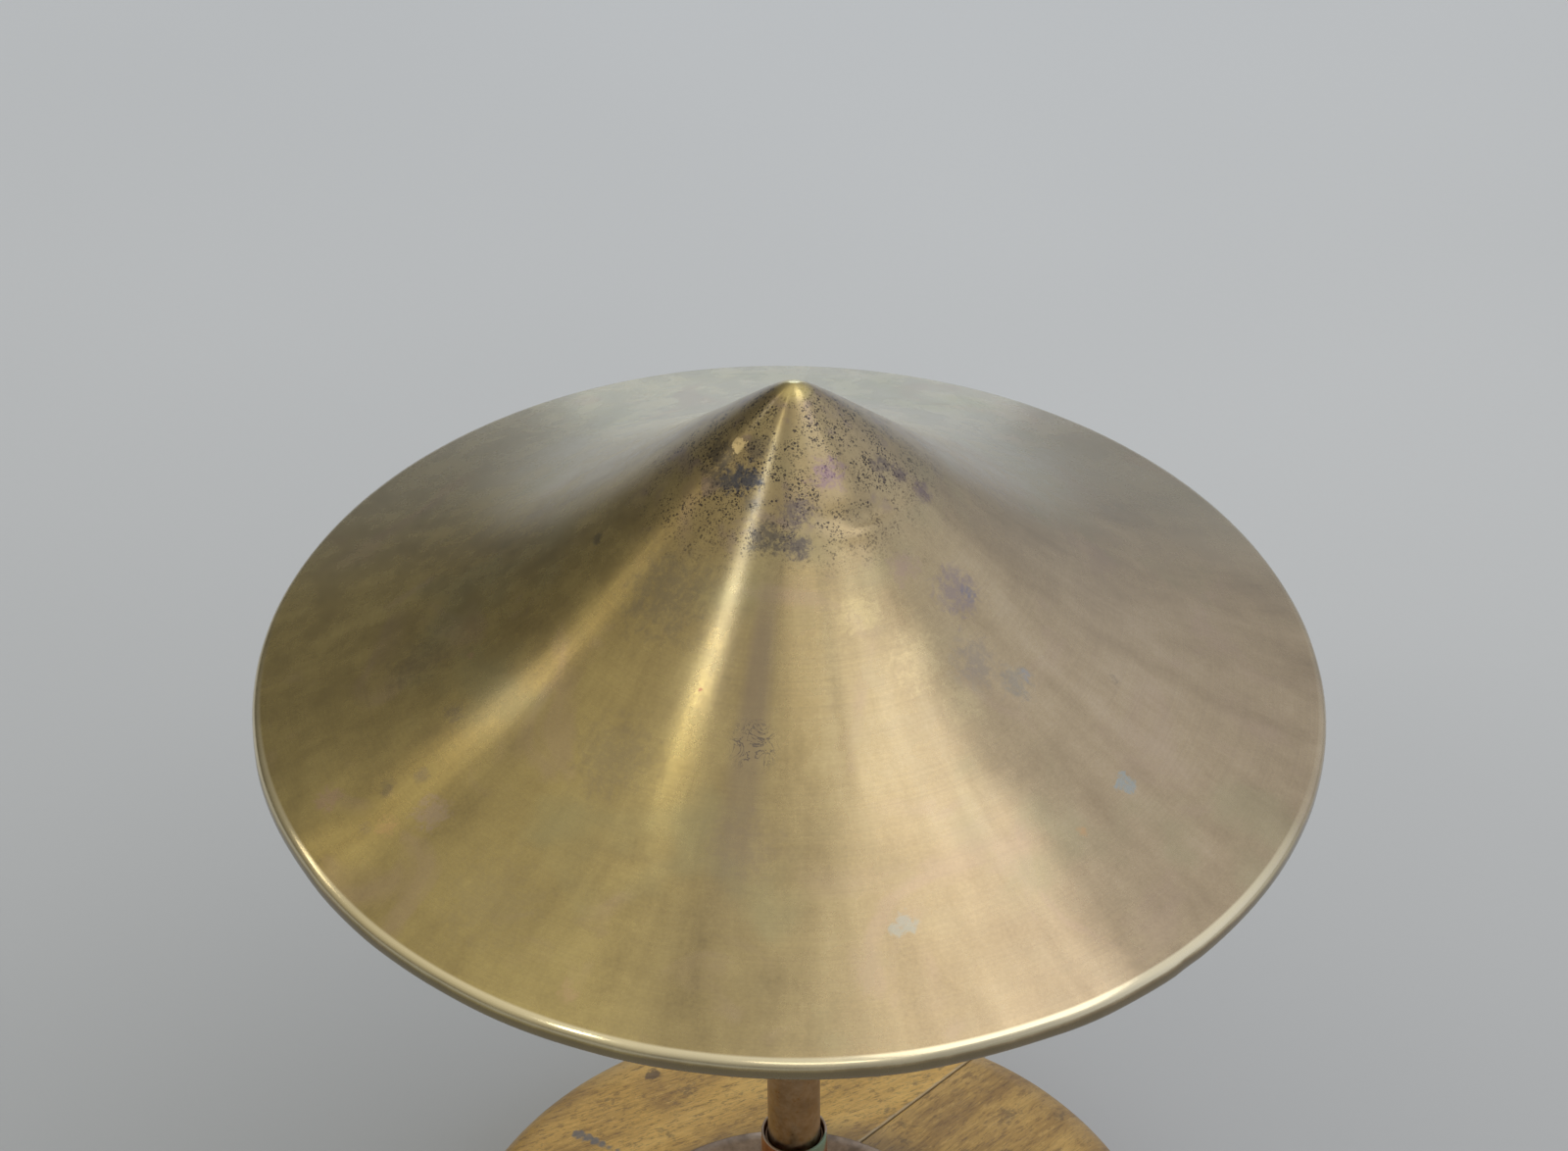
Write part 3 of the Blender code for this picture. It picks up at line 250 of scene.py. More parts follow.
def shade_brass():
    """Spun brass: fine rings, clouds of patina, heat tarnish round the point, stains and a worn tip."""
    g = Graph("shade_brass_aged")
    radius, around = g.turned_frame()
    ring_place = g.node("ShaderNodeCombineXYZ", {0: g.times(radius, 1500.0)})
    ring_place = g.vector("ADD", ring_place, g.vector("MULTIPLY", around, (1.6, 1.6, 0)))
    rings = g.noise(1.0, 4, 0.65, vector=ring_place)
    broad_rings = g.noise(0.09, 2, 0.5, vector=ring_place)
    cloud_place = g.vector("MULTIPLY", around, (5.0, 5.0, 0))
    cloud_place = g.vector("ADD", cloud_place, g.vector("MULTIPLY", g.coords, (9, 9, 9)))
    clouds = g.noise(1.0, 4, 0.6, vector=cloud_place, distortion=0.4)
    broad = g.noise(14, 4, 0.6, distortion=0.5)
    mottle = g.noise(75, 5, 0.68)
    grain = g.noise(900, 3, 0.7)

    tone = g.weighted((clouds, 0.34), (broad, 0.3), (mottle, 0.22), (grain, 0.14))
    colour = g.ramp(
        tone,
        (0.32, (0.215, 0.152, 0.055)),
        (0.44, (0.37, 0.278, 0.115)),
        (0.54, (0.475, 0.368, 0.162)),
        (0.67, (0.6, 0.485, 0.24)),
    )
    colour = g.mix(g.span(rings, 0.35, 0.75, 0.0, 0.16), colour, (0.24, 0.17, 0.09))
    right_side = g.span(g.dot(g.coords, (1, 0, 0)), -0.1, 0.11)
    golden = g.vector("MULTIPLY", colour, (1.03, 1.0, 0.72))
    rosy = g.vector("MULTIPLY", colour, (1.0, 0.95, 1.2))
    colour = g.mix(right_side, golden, rosy)
    # Painted reflection: the far side of the shade is mixed towards a pale, neutral brass.
    far_side_reflection = g.span(g.dot(g.coords, (0, 1, 0)), 0.02, 0.1, 0.0, 0.65)
    colour = g.mix(far_side_reflection, colour, (0.5, 0.45, 0.33))
    pinkish = g.times(g.span(g.noise(22, 3, 0.6, distortion=1.0), 0.56, 0.7), 0.3)
    colour = g.mix(pinkish, colour, (0.47, 0.32, 0.22))
    green_cloud = g.noise(17, 3, 0.6, vector=g.vector("ADD", g.coords, (3, 1, 2)))
    greenish = g.times(g.span(green_cloud, 0.54, 0.7), 0.35)
    colour = g.mix(greenish, colour, (0.36, 0.33, 0.16))

    # Heat tarnish: a ragged disc of dark specks and violet clouds round the point.
    reach = g.plus(radius, g.centred(g.noise(55, 4, 0.65), 0.052))
    heat = g.span(reach, 0.055, 0.028)
    dots = g.span(g.cells(850), 0.42, 0.28)
    fine_dots = g.span(g.cells(1700), 0.4, 0.25)
    patches = g.span(g.noise(420, 3, 0.7), 0.38, 0.5)
    clumps = g.span(g.noise(105, 3, 0.65, distortion=0.5), 0.36, 0.54)
    specks = g.times(g.math("MAXIMUM", dots, fine_dots), patches, clumps, heat)
    colour = g.mix(g.times(heat, 0.32), colour, (0.33, 0.235, 0.1))
    violet_cloud = g.noise(85, 3, 0.6, vector=g.vector("ADD", g.coords, (1, 4, 2)))
    violet = g.times(g.span(violet_cloud, 0.53, 0.68), heat, 0.5)
    colour = g.mix(violet, colour, (0.21, 0.14, 0.15))
    colour = g.mix(g.times(specks, 0.92), colour, (0.03, 0.024, 0.028))

    # Stains and rubs: radius, bearing, size, softness, colour, strength.
    marks = (
        (24, 206, 5.5, 2.5, (0.06, 0.045, 0.03), 0.7),
        (19, 232, 3.4, 1.8, (0.07, 0.05, 0.04), 0.6),
        (29, 214, 4.0, 2.0, (0.06, 0.045, 0.035), 0.65),
        (26, 236, 4.2, 2.0, (0.045, 0.045, 0.065), 0.95),
        (28, 226, 3.6, 1.8, (0.06, 0.055, 0.07), 0.85),
        (20, 214, 2.5, 0.5, (0.78, 0.6, 0.3), 1.0),
        (31, 246, 3.0, 2.4, (0.09, 0.08, 0.07), 0.55),
        (38, 258, 4.4, 2.0, (0.07, 0.055, 0.05), 0.75),
        (39, 271, 3.8, 1.8, (0.06, 0.045, 0.05), 0.8),
        (31, 272, 4.4, 2.2, (0.1, 0.07, 0.08), 0.7),
        (24, 296, 4.4, 3.0, (0.24, 0.13, 0.2), 0.6),
        (29, 338, 3.4, 1.8, (0.08, 0.05, 0.05), 0.7),
        (34, 345, 2.8, 1.6, (0.09, 0.05, 0.06), 0.7),
        (41, 347, 3.2, 2.4, (0.14, 0.08, 0.09), 0.7),
        (57, 228, 11.0, 9.0, (0.2, 0.155, 0.09), 0.6),
        (70, 303, 7.0, 6.5, (0.75, 0.6, 0.3), 0.35),
        (84, 308, 5.0, 4.8, (0.72, 0.58, 0.29), 0.35),
        (56, 291, 5.0, 4.0, (0.75, 0.6, 0.28), 0.4),
        (50, 313, 4.0, 3.0, (0.42, 0.27, 0.2), 0.5),
        (150, 214, 3.0, 1.6, (0.55, 0.35, 0.14), 0.6),
        (143, 209, 2.4, 1.4, (0.16, 0.12, 0.07), 0.5),
        (155, 212, 2.0, 1.2, (0.3, 0.22, 0.12), 0.5),
        (62, 190, 2.2, 1.0, (0.1, 0.08, 0.05), 0.6),
        (62, 325, 6.5, 4.0, (0.26, 0.19, 0.18), 0.65),
        (64, 328, 2.2, 1.4, (0.16, 0.15, 0.2), 0.6),
        (88, 322, 4.6, 3.0, (0.27, 0.25, 0.21), 0.5),
        (88, 325, 1.6, 1.0, (0.3, 0.31, 0.33), 0.5),
        (98, 236, 10.0, 8.0, (0.27, 0.2, 0.11), 0.4),
        (112, 262, 8.0, 7.0, (0.3, 0.22, 0.14), 0.35),
        (148, 232, 12.0, 9.0, (0.36, 0.27, 0.12), 0.35),
        (120, 190, 9.0, 7.0, (0.2, 0.15, 0.07), 0.4),
        (78, 316, 6.0, 4.5, (0.26, 0.21, 0.17), 0.5),
        (127, 324, 3.2, 0.9, (0.34, 0.38, 0.36), 0.75),
        (129, 313, 1.4, 0.6, (0.55, 0.33, 0.14), 0.7),
        (136, 284, 3.4, 1.1, (0.33, 0.34, 0.28), 0.6),
        (159, 205, 3.6, 1.8, (0.5, 0.32, 0.2), 0.6),
        (138, 217, 5.0, 2.6, (0.46, 0.33, 0.24), 0.55),
        (133, 211, 2.2, 1.2, (0.24, 0.18, 0.11), 0.55),
        (163, 246, 2.6, 1.6, (0.55, 0.36, 0.17), 0.5),
        (116, 205, 3.0, 1.8, (0.2, 0.15, 0.1), 0.45),
        (75, 248, 0.6, 0.3, (0.3, 0.1, 0.04), 0.9),
        (105, 196, 1.2, 0.6, (0.5, 0.3, 0.16), 0.5),
        (108, 340, 1.4, 0.8, (0.2, 0.15, 0.1), 0.4),
    )
    ragged_edge = g.minus(g.noise(300, 4, 0.7, distortion=0.6), 0.5)
    broken = g.span(g.noise(520, 3, 0.7), 0.34, 0.5, 0.45, 1.0)
    for r, bearing, size, soft, tint, strength in marks:
        distance = g.vector("LENGTH", g.vector("SUBTRACT", g.coords, on_shade(r, bearing)), output=1)
        distance = g.plus(distance, g.times(ragged_edge, size * MM * 4.0))
        spot = g.span(distance, (size + soft) * MM, (size - soft) * MM)
        colour = g.mix(g.times(spot, broken, strength), colour, tint)

    # Painted reflection: a darker, browner streak down the front, to the left of its brightest band.
    off_reflection_streak = g.plus(g.dot(around, polar(1000, 352, 0)), g.times(clouds, 0.03))
    dark_reflection_streak = g.span(g.math("ABSOLUTE", off_reflection_streak), 0.085, 0.02)
    front = g.dot(g.coords, (0, -1, 0))
    dark_reflection_streak = g.times(dark_reflection_streak, 0.55, g.times(g.span(front, 0.04, 0.06), g.span(front, 0.15, 0.07)))
    colour = g.mix(dark_reflection_streak, colour, (0.24, 0.165, 0.11))
    scribble = g.math("ABSOLUTE", g.minus(g.noise(150, 3, 0.7, distortion=1.4), 0.5))
    scribble = g.times(g.span(scribble, 0.03, 0.008), g.near(on_shade(86, 262), 7 * MM, 3 * MM), 0.75)
    colour = g.mix(scribble, colour, (0.09, 0.065, 0.06))

    # The worn tip, a painted highlight along the crease over the hem, and the dark hem below it.
    tip = g.span(radius, 0.0075, 0.003)
    colour = g.mix(g.times(tip, 0.85), colour, (0.7, 0.55, 0.2))
    level = g.plus(g.dot(g.coords, (0, 0, 1)), g.centred(mottle, 0.0008))
    outside = g.span(radius, 0.1712, 0.1722)
    # Painted highlight: the crease is lightened, most on its front side.
    facing = g.span(g.dot(around, (-0.25, -1, 0)), 0.05, 0.5, 0.15, 1.0)
    crease = g.times(outside, g.span(level, -0.0017, -0.0009), facing)
    hem = g.times(outside, g.span(level, -0.0014, -0.0026))
    colour = g.mix(g.times(crease, 0.8), colour, (0.92, 0.8, 0.52))
    colour = g.mix(g.times(hem, 0.75), colour, (0.17, 0.125, 0.05))

    rough = g.span(mottle, 0.3, 0.7, 0.22, 0.31)
    rough = g.plus(rough, g.times(g.math("MAXIMUM", specks, heat), 0.07))
    rough = g.minus(rough, g.times(g.math("MAXIMUM", tip, crease), 0.1))
    normal = g.bump(g.weighted((rings, 0.55), (broad_rings, 0.9)), 0.075, 0.0006)
    normal = g.bump(g.noise(34, 2, 0.5), 0.05, 0.0018, normal)
    normal = g.bump(g.minus(g.times(grain, 0.3), specks), 0.08, 0.0002, normal)
    tangent = g.node("ShaderNodeTangent", {}, direction_type="RADIAL", axis="Z")
    return g.finish(
        Base_Color=colour,
        Metallic=1.0,
        Roughness=rough,
        Normal=normal,
        Anisotropic=0.85,
        Anisotropic_Rotation=0.25,
        Tangent=tangent,
        Coat_Weight=g.minus(0.72, g.times(specks, 0.5)),
        Coat_Roughness=0.2,
        Coat_IOR=1.8,
    )


def shade_lining():
    """The shade's inner face: duller brass, browned by heat over the bulb."""
    g = Graph("shade_brass_inside")
    radius, around = g.turned_frame()
    ring_place = g.node("ShaderNodeCombineXYZ", {0: g.times(radius, 900.0)})
    ring_place = g.vector("ADD", ring_place, g.vector("MULTIPLY", around, (2, 2, 0)))
    rings = g.noise(1.0, 3, 0.6, vector=ring_place)
    broad = g.noise(26, 4, 0.6, distortion=0.4)
    colour = g.ramp(broad, (0.35, (0.3, 0.22, 0.11)), (0.5, (0.43, 0.33, 0.17)), (0.68, (0.54, 0.43, 0.24)))
    colour = g.mix(g.span(rings, 0.35, 0.7, 0.0, 0.25), colour, (0.25, 0.18, 0.09))
    scorch = g.times(g.span(radius, 0.062, 0.02), g.span(g.noise(60, 4, 0.65), 0.3, 0.6))
    colour = g.mix(g.times(scorch, 0.75), colour, (0.11, 0.075, 0.05))
    rough = g.span(broad, 0.3, 0.7, 0.34, 0.5)
    normal = g.bump(rings, 0.18, 0.0004)
    return g.finish(Base_Color=colour, Metallic=1.0, Roughness=rough, Normal=normal)


def wood(name, angle, pale, middle, dark, mottle, joint_highlight_strength):
    """Beech with its grain at an angle: growth bands, pores, ray flecks, worn varnish, painted shade on the
    rounded edge and round the disc, and a painted highlight along the glue joint.
    """
    g = Graph(name)
    along = g.node("ShaderNodeMapping", {"Vector": g.coords, "Rotation": (0, 0, -angle)})
    bands_place = g.vector("MULTIPLY", along, (7, 62, 30))
    drift = g.noise(12, 3, 0.55, output=1)
    bands_place = g.vector("ADD", bands_place, g.vector("MULTIPLY", drift, (1.6, 1.6, 1.6)))
    bands = g.noise(1.0, 4, 0.6, vector=bands_place)
    fibres = g.noise(1.0, 4, 0.7, vector=g.vector("MULTIPLY", along, (60, 900, 500)))
    pores = g.noise(1.0, 2, 0.6, vector=g.vector("MULTIPLY", along, (190, 2300, 1500)))
    flecks = g.cells(1.0, vector=g.vector("MULTIPLY", along, (260, 900, 600)))
    blotches = g.noise(38, 5, 0.68, distortion=0.6)
    broad = g.noise(13, 3, 0.6)
    tone = g.weighted((bands, 0.5), (fibres, 0.22), (blotches, mottle), (broad, 0.28 - mottle))
    colour = g.ramp(tone, (0.36, dark), (0.5, middle), (0.64, pale))
    colour = g.mix(g.span(flecks, 0.16, 0.05, 0.0, 0.35), colour, dark)
    colour = g.mix(g.span(pores, 0.58, 0.68, 0.0, 0.55), colour, (0.09, 0.055, 0.025))
    stains = g.span(g.noise(95, 4, 0.7), 0.58, 0.7, 0.0, 0.55)
    colour = g.mix(stains, colour, (0.12, 0.08, 0.04))
    speckle = g.noise(1.0, 4, 0.75, vector=g.vector("MULTIPLY", along, (150, 420, 300)))
    colour = g.mix(g.span(speckle, 0.52, 0.66, 0.0, 0.6), colour, (0.2, 0.105, 0.03))
    colour = g.mix(g.span(speckle, 0.46, 0.34, 0.0, 0.4), colour, pale)
    spots = g.span(g.cells(85), 0.1, 0.04, 0.0, 0.7)
    spots = g.times(spots, g.span(g.noise(30, 2, 0.5), 0.5, 0.6))
    colour = g.mix(spots, colour, (0.06, 0.045, 0.035))
    # Painted shade: darker over the rounded outer edge, and a darker ring just outside the brass disc's foot.
    radius, _ = g.turned_frame()
    worn = g.plus(radius, g.centred(blotches, 0.012))
    edge = g.span(worn, 0.118, 0.134)
    colour = g.mix(g.times(edge, 0.42), colour, (0.15, 0.085, 0.035))
    inner = g.times(g.span(worn, 0.082, 0.07), 0.5)
    colour = g.mix(inner, colour, (0.13, 0.08, 0.04))
    # Painted highlight: a pale line along the glue joint, where the raised rear board's edge catches the
    # light; its strength is given per board.
    joint = g.dot(g.coords, (-math.sin(GLUE_ANGLE), math.cos(GLUE_ANGLE), 0))
    joint = g.minus(joint, (GLUE_DISTANCE + BASE_X * math.sin(GLUE_ANGLE)) * MM)
    lip = g.span(g.plus(g.math("ABSOLUTE", joint), g.centred(fibres, 0.002)), 0.0015, 0.0004)
    colour = g.mix(g.times(lip, joint_highlight_strength), colour, (0.58, 0.47, 0.3))

    # A tapering gouge and a round knock in the top.
    gouge = [(-84 + 3 * i, 69.5 - 1.6 * i, 2.2 - 0.25 * i, (0.15, 0.16, 0.18)) for i in range(6)]
    for x, y, size, tint in gouge + [(-56, 101.6, 2.8, (0.12, 0.07, 0.03))]:
        place = ((x - BASE_X) * MM, y * MM, BOARD_TOP * MM)
        mark = g.near(place, size * MM, 0.8 * MM, wobble=size * MM * 3, wobble_scale=260)
        colour = g.mix(g.times(mark, 0.8), colour, tint)
    rough = g.span(blotches, 0.35, 0.65, 0.36, 0.56)
    height = g.minus(g.times(fibres, 0.6), g.span(pores, 0.56, 0.68))
    normal = g.bump(height, 0.3, 0.0004)
    normal = g.bump(blotches, 0.14, 0.001, normal)
    return g.finish(Base_Color=colour, Roughness=rough, Normal=normal, Coat_Weight=0.25, Coat_Roughness=0.35)


def copper_tube():
    """Aged copper with a worn bright lip and green corrosion at its right."""
    g = Graph("sleeve_copper_aged")
    z = g.dot(g.coords, (0, 0, 1))
    long_place = g.vector("MULTIPLY", g.coords, (260, 260, 22))
    streaks = g.noise(1.0, 4, 0.6, vector=long_place)
    broad = g.noise(45, 4, 0.6)
    blend = g.weighted((streaks, 0.5), (broad, 0.5))
    colour = g.ramp(blend, (0.36, (0.28, 0.115, 0.05)), (0.5, (0.46, 0.215, 0.11)), (0.64, (0.6, 0.34, 0.2)))
    soot = g.span(g.noise(240, 4, 0.7), 0.56, 0.7, 0.0, 0.55)
    colour = g.mix(soot, colour, (0.1, 0.06, 0.04))
    lip = g.span(g.plus(z, g.centred(broad, 0.0006)), 0.11745, 0.1178)
    colour = g.mix(g.times(lip, 0.75), colour, (0.42, 0.37, 0.3))
    corroded = g.near((0.0085, -0.0065, 0.1176), 0.0052, 0.0018, wobble=0.004, wobble_scale=500)
    colour = g.mix(g.times(corroded, 0.8), colour, (0.2, 0.34, 0.22))
    shiny = g.minus(1.0, g.times(corroded, 0.75))
    rough = g.plus(g.span(broad, 0.3, 0.7, 0.3, 0.42), g.times(corroded, 0.3))
    normal = g.bump(streaks, 0.18, 0.0003)
    normal = g.bump(g.times(corroded, g.noise(900, 3, 0.6)), 0.5, 0.0004, normal)
    return g.finish(Base_Color=colour, Metallic=shiny, Roughness=rough, Normal=normal)


def clear_glass(name, tint, dust):
    g = Graph(name)
    cloud = g.noise(45, 4, 0.6)
    colour = g.mix(g.span(cloud, 0.45, 0.75, 0.0, dust), tint, (0.72, 0.7, 0.64))
    rough = g.span(cloud, 0.4, 0.75, 0.02, 0.02 + dust * 0.3)
    normal = g.bump(g.noise(30, 2, 0.5), 0.04, 0.001)
    return g.finish(Base_Color=colour, Roughness=rough, Normal=normal, Transmission_Weight=1.0, IOR=1.45)


def felt_cloth():
    g = Graph("felt_green")
    fibres = g.noise(900, 4, 0.75, distortion=0.8)
    tufts = g.noise(140, 4, 0.65)
    dark, middle, light = (0.015, 0.045, 0.022), (0.04, 0.1, 0.055), (0.085, 0.16, 0.095)
    colour = g.ramp(fibres, (0.35, dark), (0.55, middle), (0.7, light))
    colour = g.mix(g.span(tufts, 0.5, 0.7, 0.0, 0.4), colour, (0.1, 0.12, 0.08))
    normal = g.bump(g.plus(fibres, tufts), 0.7, 0.0006)
    return g.finish(Base_Color=colour, Roughness=0.95, Normal=normal, Sheen_Weight=0.4, Sheen_Roughness=0.5)


def fibreboard():
    g = Graph("cover_fibreboard")
    chips = g.noise(320, 5, 0.7, distortion=0.5)
    broad = g.noise(20, 3, 0.6)
    dark, middle, light = (0.09, 0.055, 0.03), (0.17, 0.11, 0.065), (0.27, 0.19, 0.12)
    colour = g.ramp(chips, (0.35, dark), (0.52, middle), (0.7, light))
    colour = g.mix(g.span(broad, 0.45, 0.7, 0.0, 0.3), colour, (0.08, 0.055, 0.04))
    rough = g.span(chips, 0.3, 0.7, 0.75, 0.95)
    return g.finish(Base_Color=colour, Roughness=rough, Normal=g.bump(chips, 0.35, 0.0004))


def cast_iron():
    g = Graph("ballast_cast_iron")
    grains = g.noise(420, 4, 0.7)
    rust = g.span(g.noise(50, 4, 0.65, distortion=0.6), 0.52, 0.66)
    colour = g.ramp(grains, (0.35, (0.045, 0.043, 0.045)), (0.65, (0.12, 0.115, 0.115)))
    colour = g.mix(g.times(rust, 0.7), colour, (0.2, 0.085, 0.035))
    shiny = g.minus(0.9, g.times(rust, 0.7))
    rough = g.span(grains, 0.3, 0.7, 0.55, 0.8)
    return g.finish(Base_Color=colour, Metallic=shiny, Roughness=rough, Normal=g.bump(grains, 0.5, 0.0006))


def make_looks():
    """Every look by name; a metal's row is its tones, roughness, pattern scale, tarnish and lathe lines."""
    metals = {
        "fitting_brass": ("fitting_brass_aged", (0.2, 0.14, 0.065), (0.4, 0.3, 0.145), (0.54, 0.43, 0.22),
                          0.33, 60, 0.4, 0.12),
        "disc_brass": ("disc_brass_brown", (0.15, 0.1, 0.065), (0.26, 0.18, 0.12), (0.38, 0.28, 0.19),
                       0.42, 45, 0.35, 0.1),
        "stem_brass": ("stem_brass_brown", (0.31, 0.22, 0.135), (0.42, 0.31, 0.2), (0.52, 0.4, 0.28),
                       0.34, 70, 0.12, 0.05),
        "steel": ("steel_turned", (0.2, 0.19, 0.18), (0.38, 0.37, 0.36), (0.52, 0.52, 0.51),
                  0.3, 90, 0.4, 0.15, (0.12, 0.07, 0.04)),
        "filament_wire": ("tungsten_wire", (0.1, 0.1, 0.11), (0.2, 0.2, 0.21), (0.32, 0.32, 0.33),
                          0.4, 300, 0.2),
        "bulb_solder": ("solder_dull", (0.3, 0.3, 0.31), (0.45, 0.45, 0.46), (0.6, 0.6, 0.6), 0.4, 200, 0.3),
    }
    glazes = {
        "bakelite": ("bakelite_brown", (0.02, 0.01, 0.007), (0.06, 0.028, 0.018), 0.28, 0.5, 50,
                     (0.16, 0.13, 0.1)),
        "porcelain": ("porcelain_cream", (0.66, 0.62, 0.52), (0.82, 0.79, 0.71), 0.22, 0.8, 45,
                      (0.3, 0.24, 0.16)),
        "bulb_black_glass": ("black_glass_insulator", (0.012, 0.012, 0.015), (0.03, 0.03, 0.036),
                             0.12, 0.8, 60),
    }
    front_tones = (0.78, 0.5, 0.15), (0.55, 0.33, 0.085), (0.28, 0.15, 0.035)
    rear_tones = (0.95, 0.62, 0.18), (0.75, 0.45, 0.105), (0.4, 0.22, 0.045)
    looks = {slot: metal(*settings) for slot, settings in metals.items()}
    looks.update({slot: glaze(*settings) for slot, settings in glazes.items()})
    looks.update({
        "shade_brass": shade_brass(),
        "shade_inside": shade_lining(),
        "sleeve_copper": copper_tube(),
        "ballast_iron": cast_iron(),
        "bulb_clear_glass": clear_glass("bulb_glass_clear", (0.97, 0.98, 0.98), 0.12),
        "base_felt": felt_cloth(),
        "cover_board": fibreboard(),
        "wood_front": wood("wood_board_front", GLUE_ANGLE, *front_tones, 0.12, 0.0),
        "wood_rear": wood("wood_board_rear", GLUE_ANGLE - 0.35, *rear_tones, 0.22, 0.75),
    })
    return looks


LOOKS = make_looks()

# ===== Shapes =====


def show(obj, look, body, node, matrix=None):
    """Places a piece, gives it its look, and lets it ride on its body in place of its CAD node."""
    LOOK.objects.link(obj)
    if matrix is not None:
        obj.matrix_world = matrix
    obj.data.materials.clear()
    obj.data.materials.append(LOOKS[look])
    bpy.context.view_layer.update()
    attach(obj, body)
    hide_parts(node)
    return obj


def turned(profile, look, body, node, matrix=None, segments=96, edge=0.0, warp=None):
    """Shows a turned piece; edge is the size of the rounding on its corners."""
    if edge:
        profile = rounded(profile, edge, closed=profile[0][0] > 0)
    return show(lathe(node + "_look", profile, segments, warp), look, body, node, matrix)


def rounded(profile, radius, closed=True, steps=3):
    """The profile with each sharp corner replaced by a short arc; an open profile keeps its ends."""
    points = [Vector(p) for p in profile]
    count = len(points)
    result = []
    for i, point in enumerate(points):
        if not closed and i in (0, count - 1):
            result.append(point)
            continue
        before = points[i - 1] - point
        after = points[(i + 1) % count] - point
        if before.length < 1e-6 or after.length < 1e-6:
            result.append(point)
            continue
        turn = before.angle(-after)
        if turn < math.radians(20):
            result.append(point)
            continue
        wanted = radius * math.tan(turn / 2) if turn < 3 else radius
        cut = min(wanted, before.length * 0.45, after.length * 0.45)
        start = point + before.normalized() * cut
        end = point + after.normalized() * cut
        for step in range(steps + 1):
            t = step / steps
            result.append(start * (1 - t) ** 2 + point * 2 * t * (1 - t) + end * t**2)
    return [(p[0], p[1]) for p in result]


def lathe(name, profile, segments=96, warp=None, inside_from=None):
    """A turned mesh. A profile that starts and ends on the axis makes a solid; any other is a closed loop."""
    solid = profile[0][0] == 0 and profile[-1][0] == 0
    shape = bmesh.new()
    rings = []
    for r, z in profile:
        if r == 0:
            rings.append([shape.verts.new((0, 0, z * MM))])
            continue
        ring = []
        for i in range(segments):
            angle = 2 * math.pi * i / segments
            place = (r * math.cos(angle), r * math.sin(angle), z)
            if warp:
                place = warp(r, angle, z)
            ring.append(shape.verts.new([c * MM for c in place]))
        rings.append(ring)
    pairs = list(zip(rings, rings[1:]))
    if not solid:
        pairs.append((rings[-1], rings[0]))
    for row, (upper, lower) in enumerate(pairs):
        inner = inside_from is not None and row >= inside_from
        for i in range(segments):
            j = (i + 1) % segments
            if len(upper) == 1:
                face = shape.faces.new((upper[0], lower[i], lower[j]))
            elif len(lower) == 1:
                face = shape.faces.new((upper[i], lower[0], upper[j]))
            else:
                face = shape.faces.new((upper[i], lower[i], lower[j], upper[j]))
            face.smooth = True
            face.material_index = 1 if inner else 0
    bmesh.ops.recalc_face_normals(shape, faces=shape.faces)
    mesh = bpy.data.meshes.new(name)
    shape.to_mesh(mesh)
    shape.free()
    return bpy.data.objects.new(name, mesh)


def arc(x, z, width, start, end, steps, height=None):
    """Points on an arc about (x, z), from one angle in degrees to another; height is for an oval one."""
    angles = [math.radians(start + (end - start) * i / steps) for i in range(steps + 1)]
    high = width if height is None else height
    return [(x + width * math.cos(a), z + high * math.sin(a)) for a in angles]


def tube(outer, inner, bottom, top):
    """Closed outline of a plain tube's wall."""
    return [(outer, top), (outer, bottom), (inner, bottom), (inner, top)]


def along_y(z):
    """Places a piece turned about Z so that its axis runs to the front, at this height."""
    return Matrix.Translation((0, 0, z * MM)) @ Matrix.Rotation(math.radians(90), 4, "X")


def shade_place():
    """Places a piece made round the shade's axis, with its rim at 0, on the lamp."""
    upright = Matrix.Translation((0, 0, PIVOT_Z * MM)) @ Matrix.Rotation(LEAN, 4, "Y")
    return upright @ Matrix.Translation((SHADE_X * MM, 0, (RIM_Z - PIVOT_Z) * MM))


def cut_away(obj, cutter, matrix):
    """Cuts one mesh out of another for good."""
    LOOK.objects.link(obj)
    LOOK.objects.link(cutter)
    cutter.matrix_world = matrix
    modifier = obj.modifiers.new("cut", "BOOLEAN")
    modifier.operation = "DIFFERENCE"
    modifier.solver = "EXACT"
    modifier.object = cutter
    bpy.context.view_layer.update()
    mesh = bpy.data.meshes.new_from_object(obj.evaluated_get(bpy.context.evaluated_depsgraph_get()))
    obj.modifiers.clear()
    obj.data = mesh
    bpy.data.objects.remove(cutter)
    LOOK.objects.unlink(obj)


def bored(obj, radius, start, end, matrix, segments):
    """Bores a round hole through a piece, along this place's Z from start to end."""
    cut_away(obj, lathe("bore", [(0, end), (radius, end), (radius, start), (0, start)], segments), matrix)


def refined(node, look, body, bevel):
    """The CAD piece with its edges broken, for fittings that aren't turned."""
    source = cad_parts[node]
    piece = bpy.data.objects.new(node + "_look", source.data.copy())
    shape = bmesh.new()
    shape.from_mesh(piece.data)
    bmesh.ops.remove_doubles(shape, verts=shape.verts, dist=1e-6)
    bmesh.ops.dissolve_limit(shape, angle_limit=math.radians(1), verts=shape.verts, edges=shape.edges)
    for face in shape.faces:
        face.smooth = True
    shape.to_mesh(piece.data)
    shape.free()
    if piece.data.attributes.get("custom_normal"):
        piece.data.attributes.remove(piece.data.attributes["custom_normal"])
    rounding = piece.modifiers.new("edges", "BEVEL")
    rounding.width = bevel * MM
    rounding.segments = 2
    rounding.limit_method = "ANGLE"
    rounding.angle_limit = math.radians(32)
    rounding.harden_normals = True
    rounding.use_clamp_overlap = True
    return show(piece, look, body, node, source.matrix_world.copy())


# ----- Shade -----


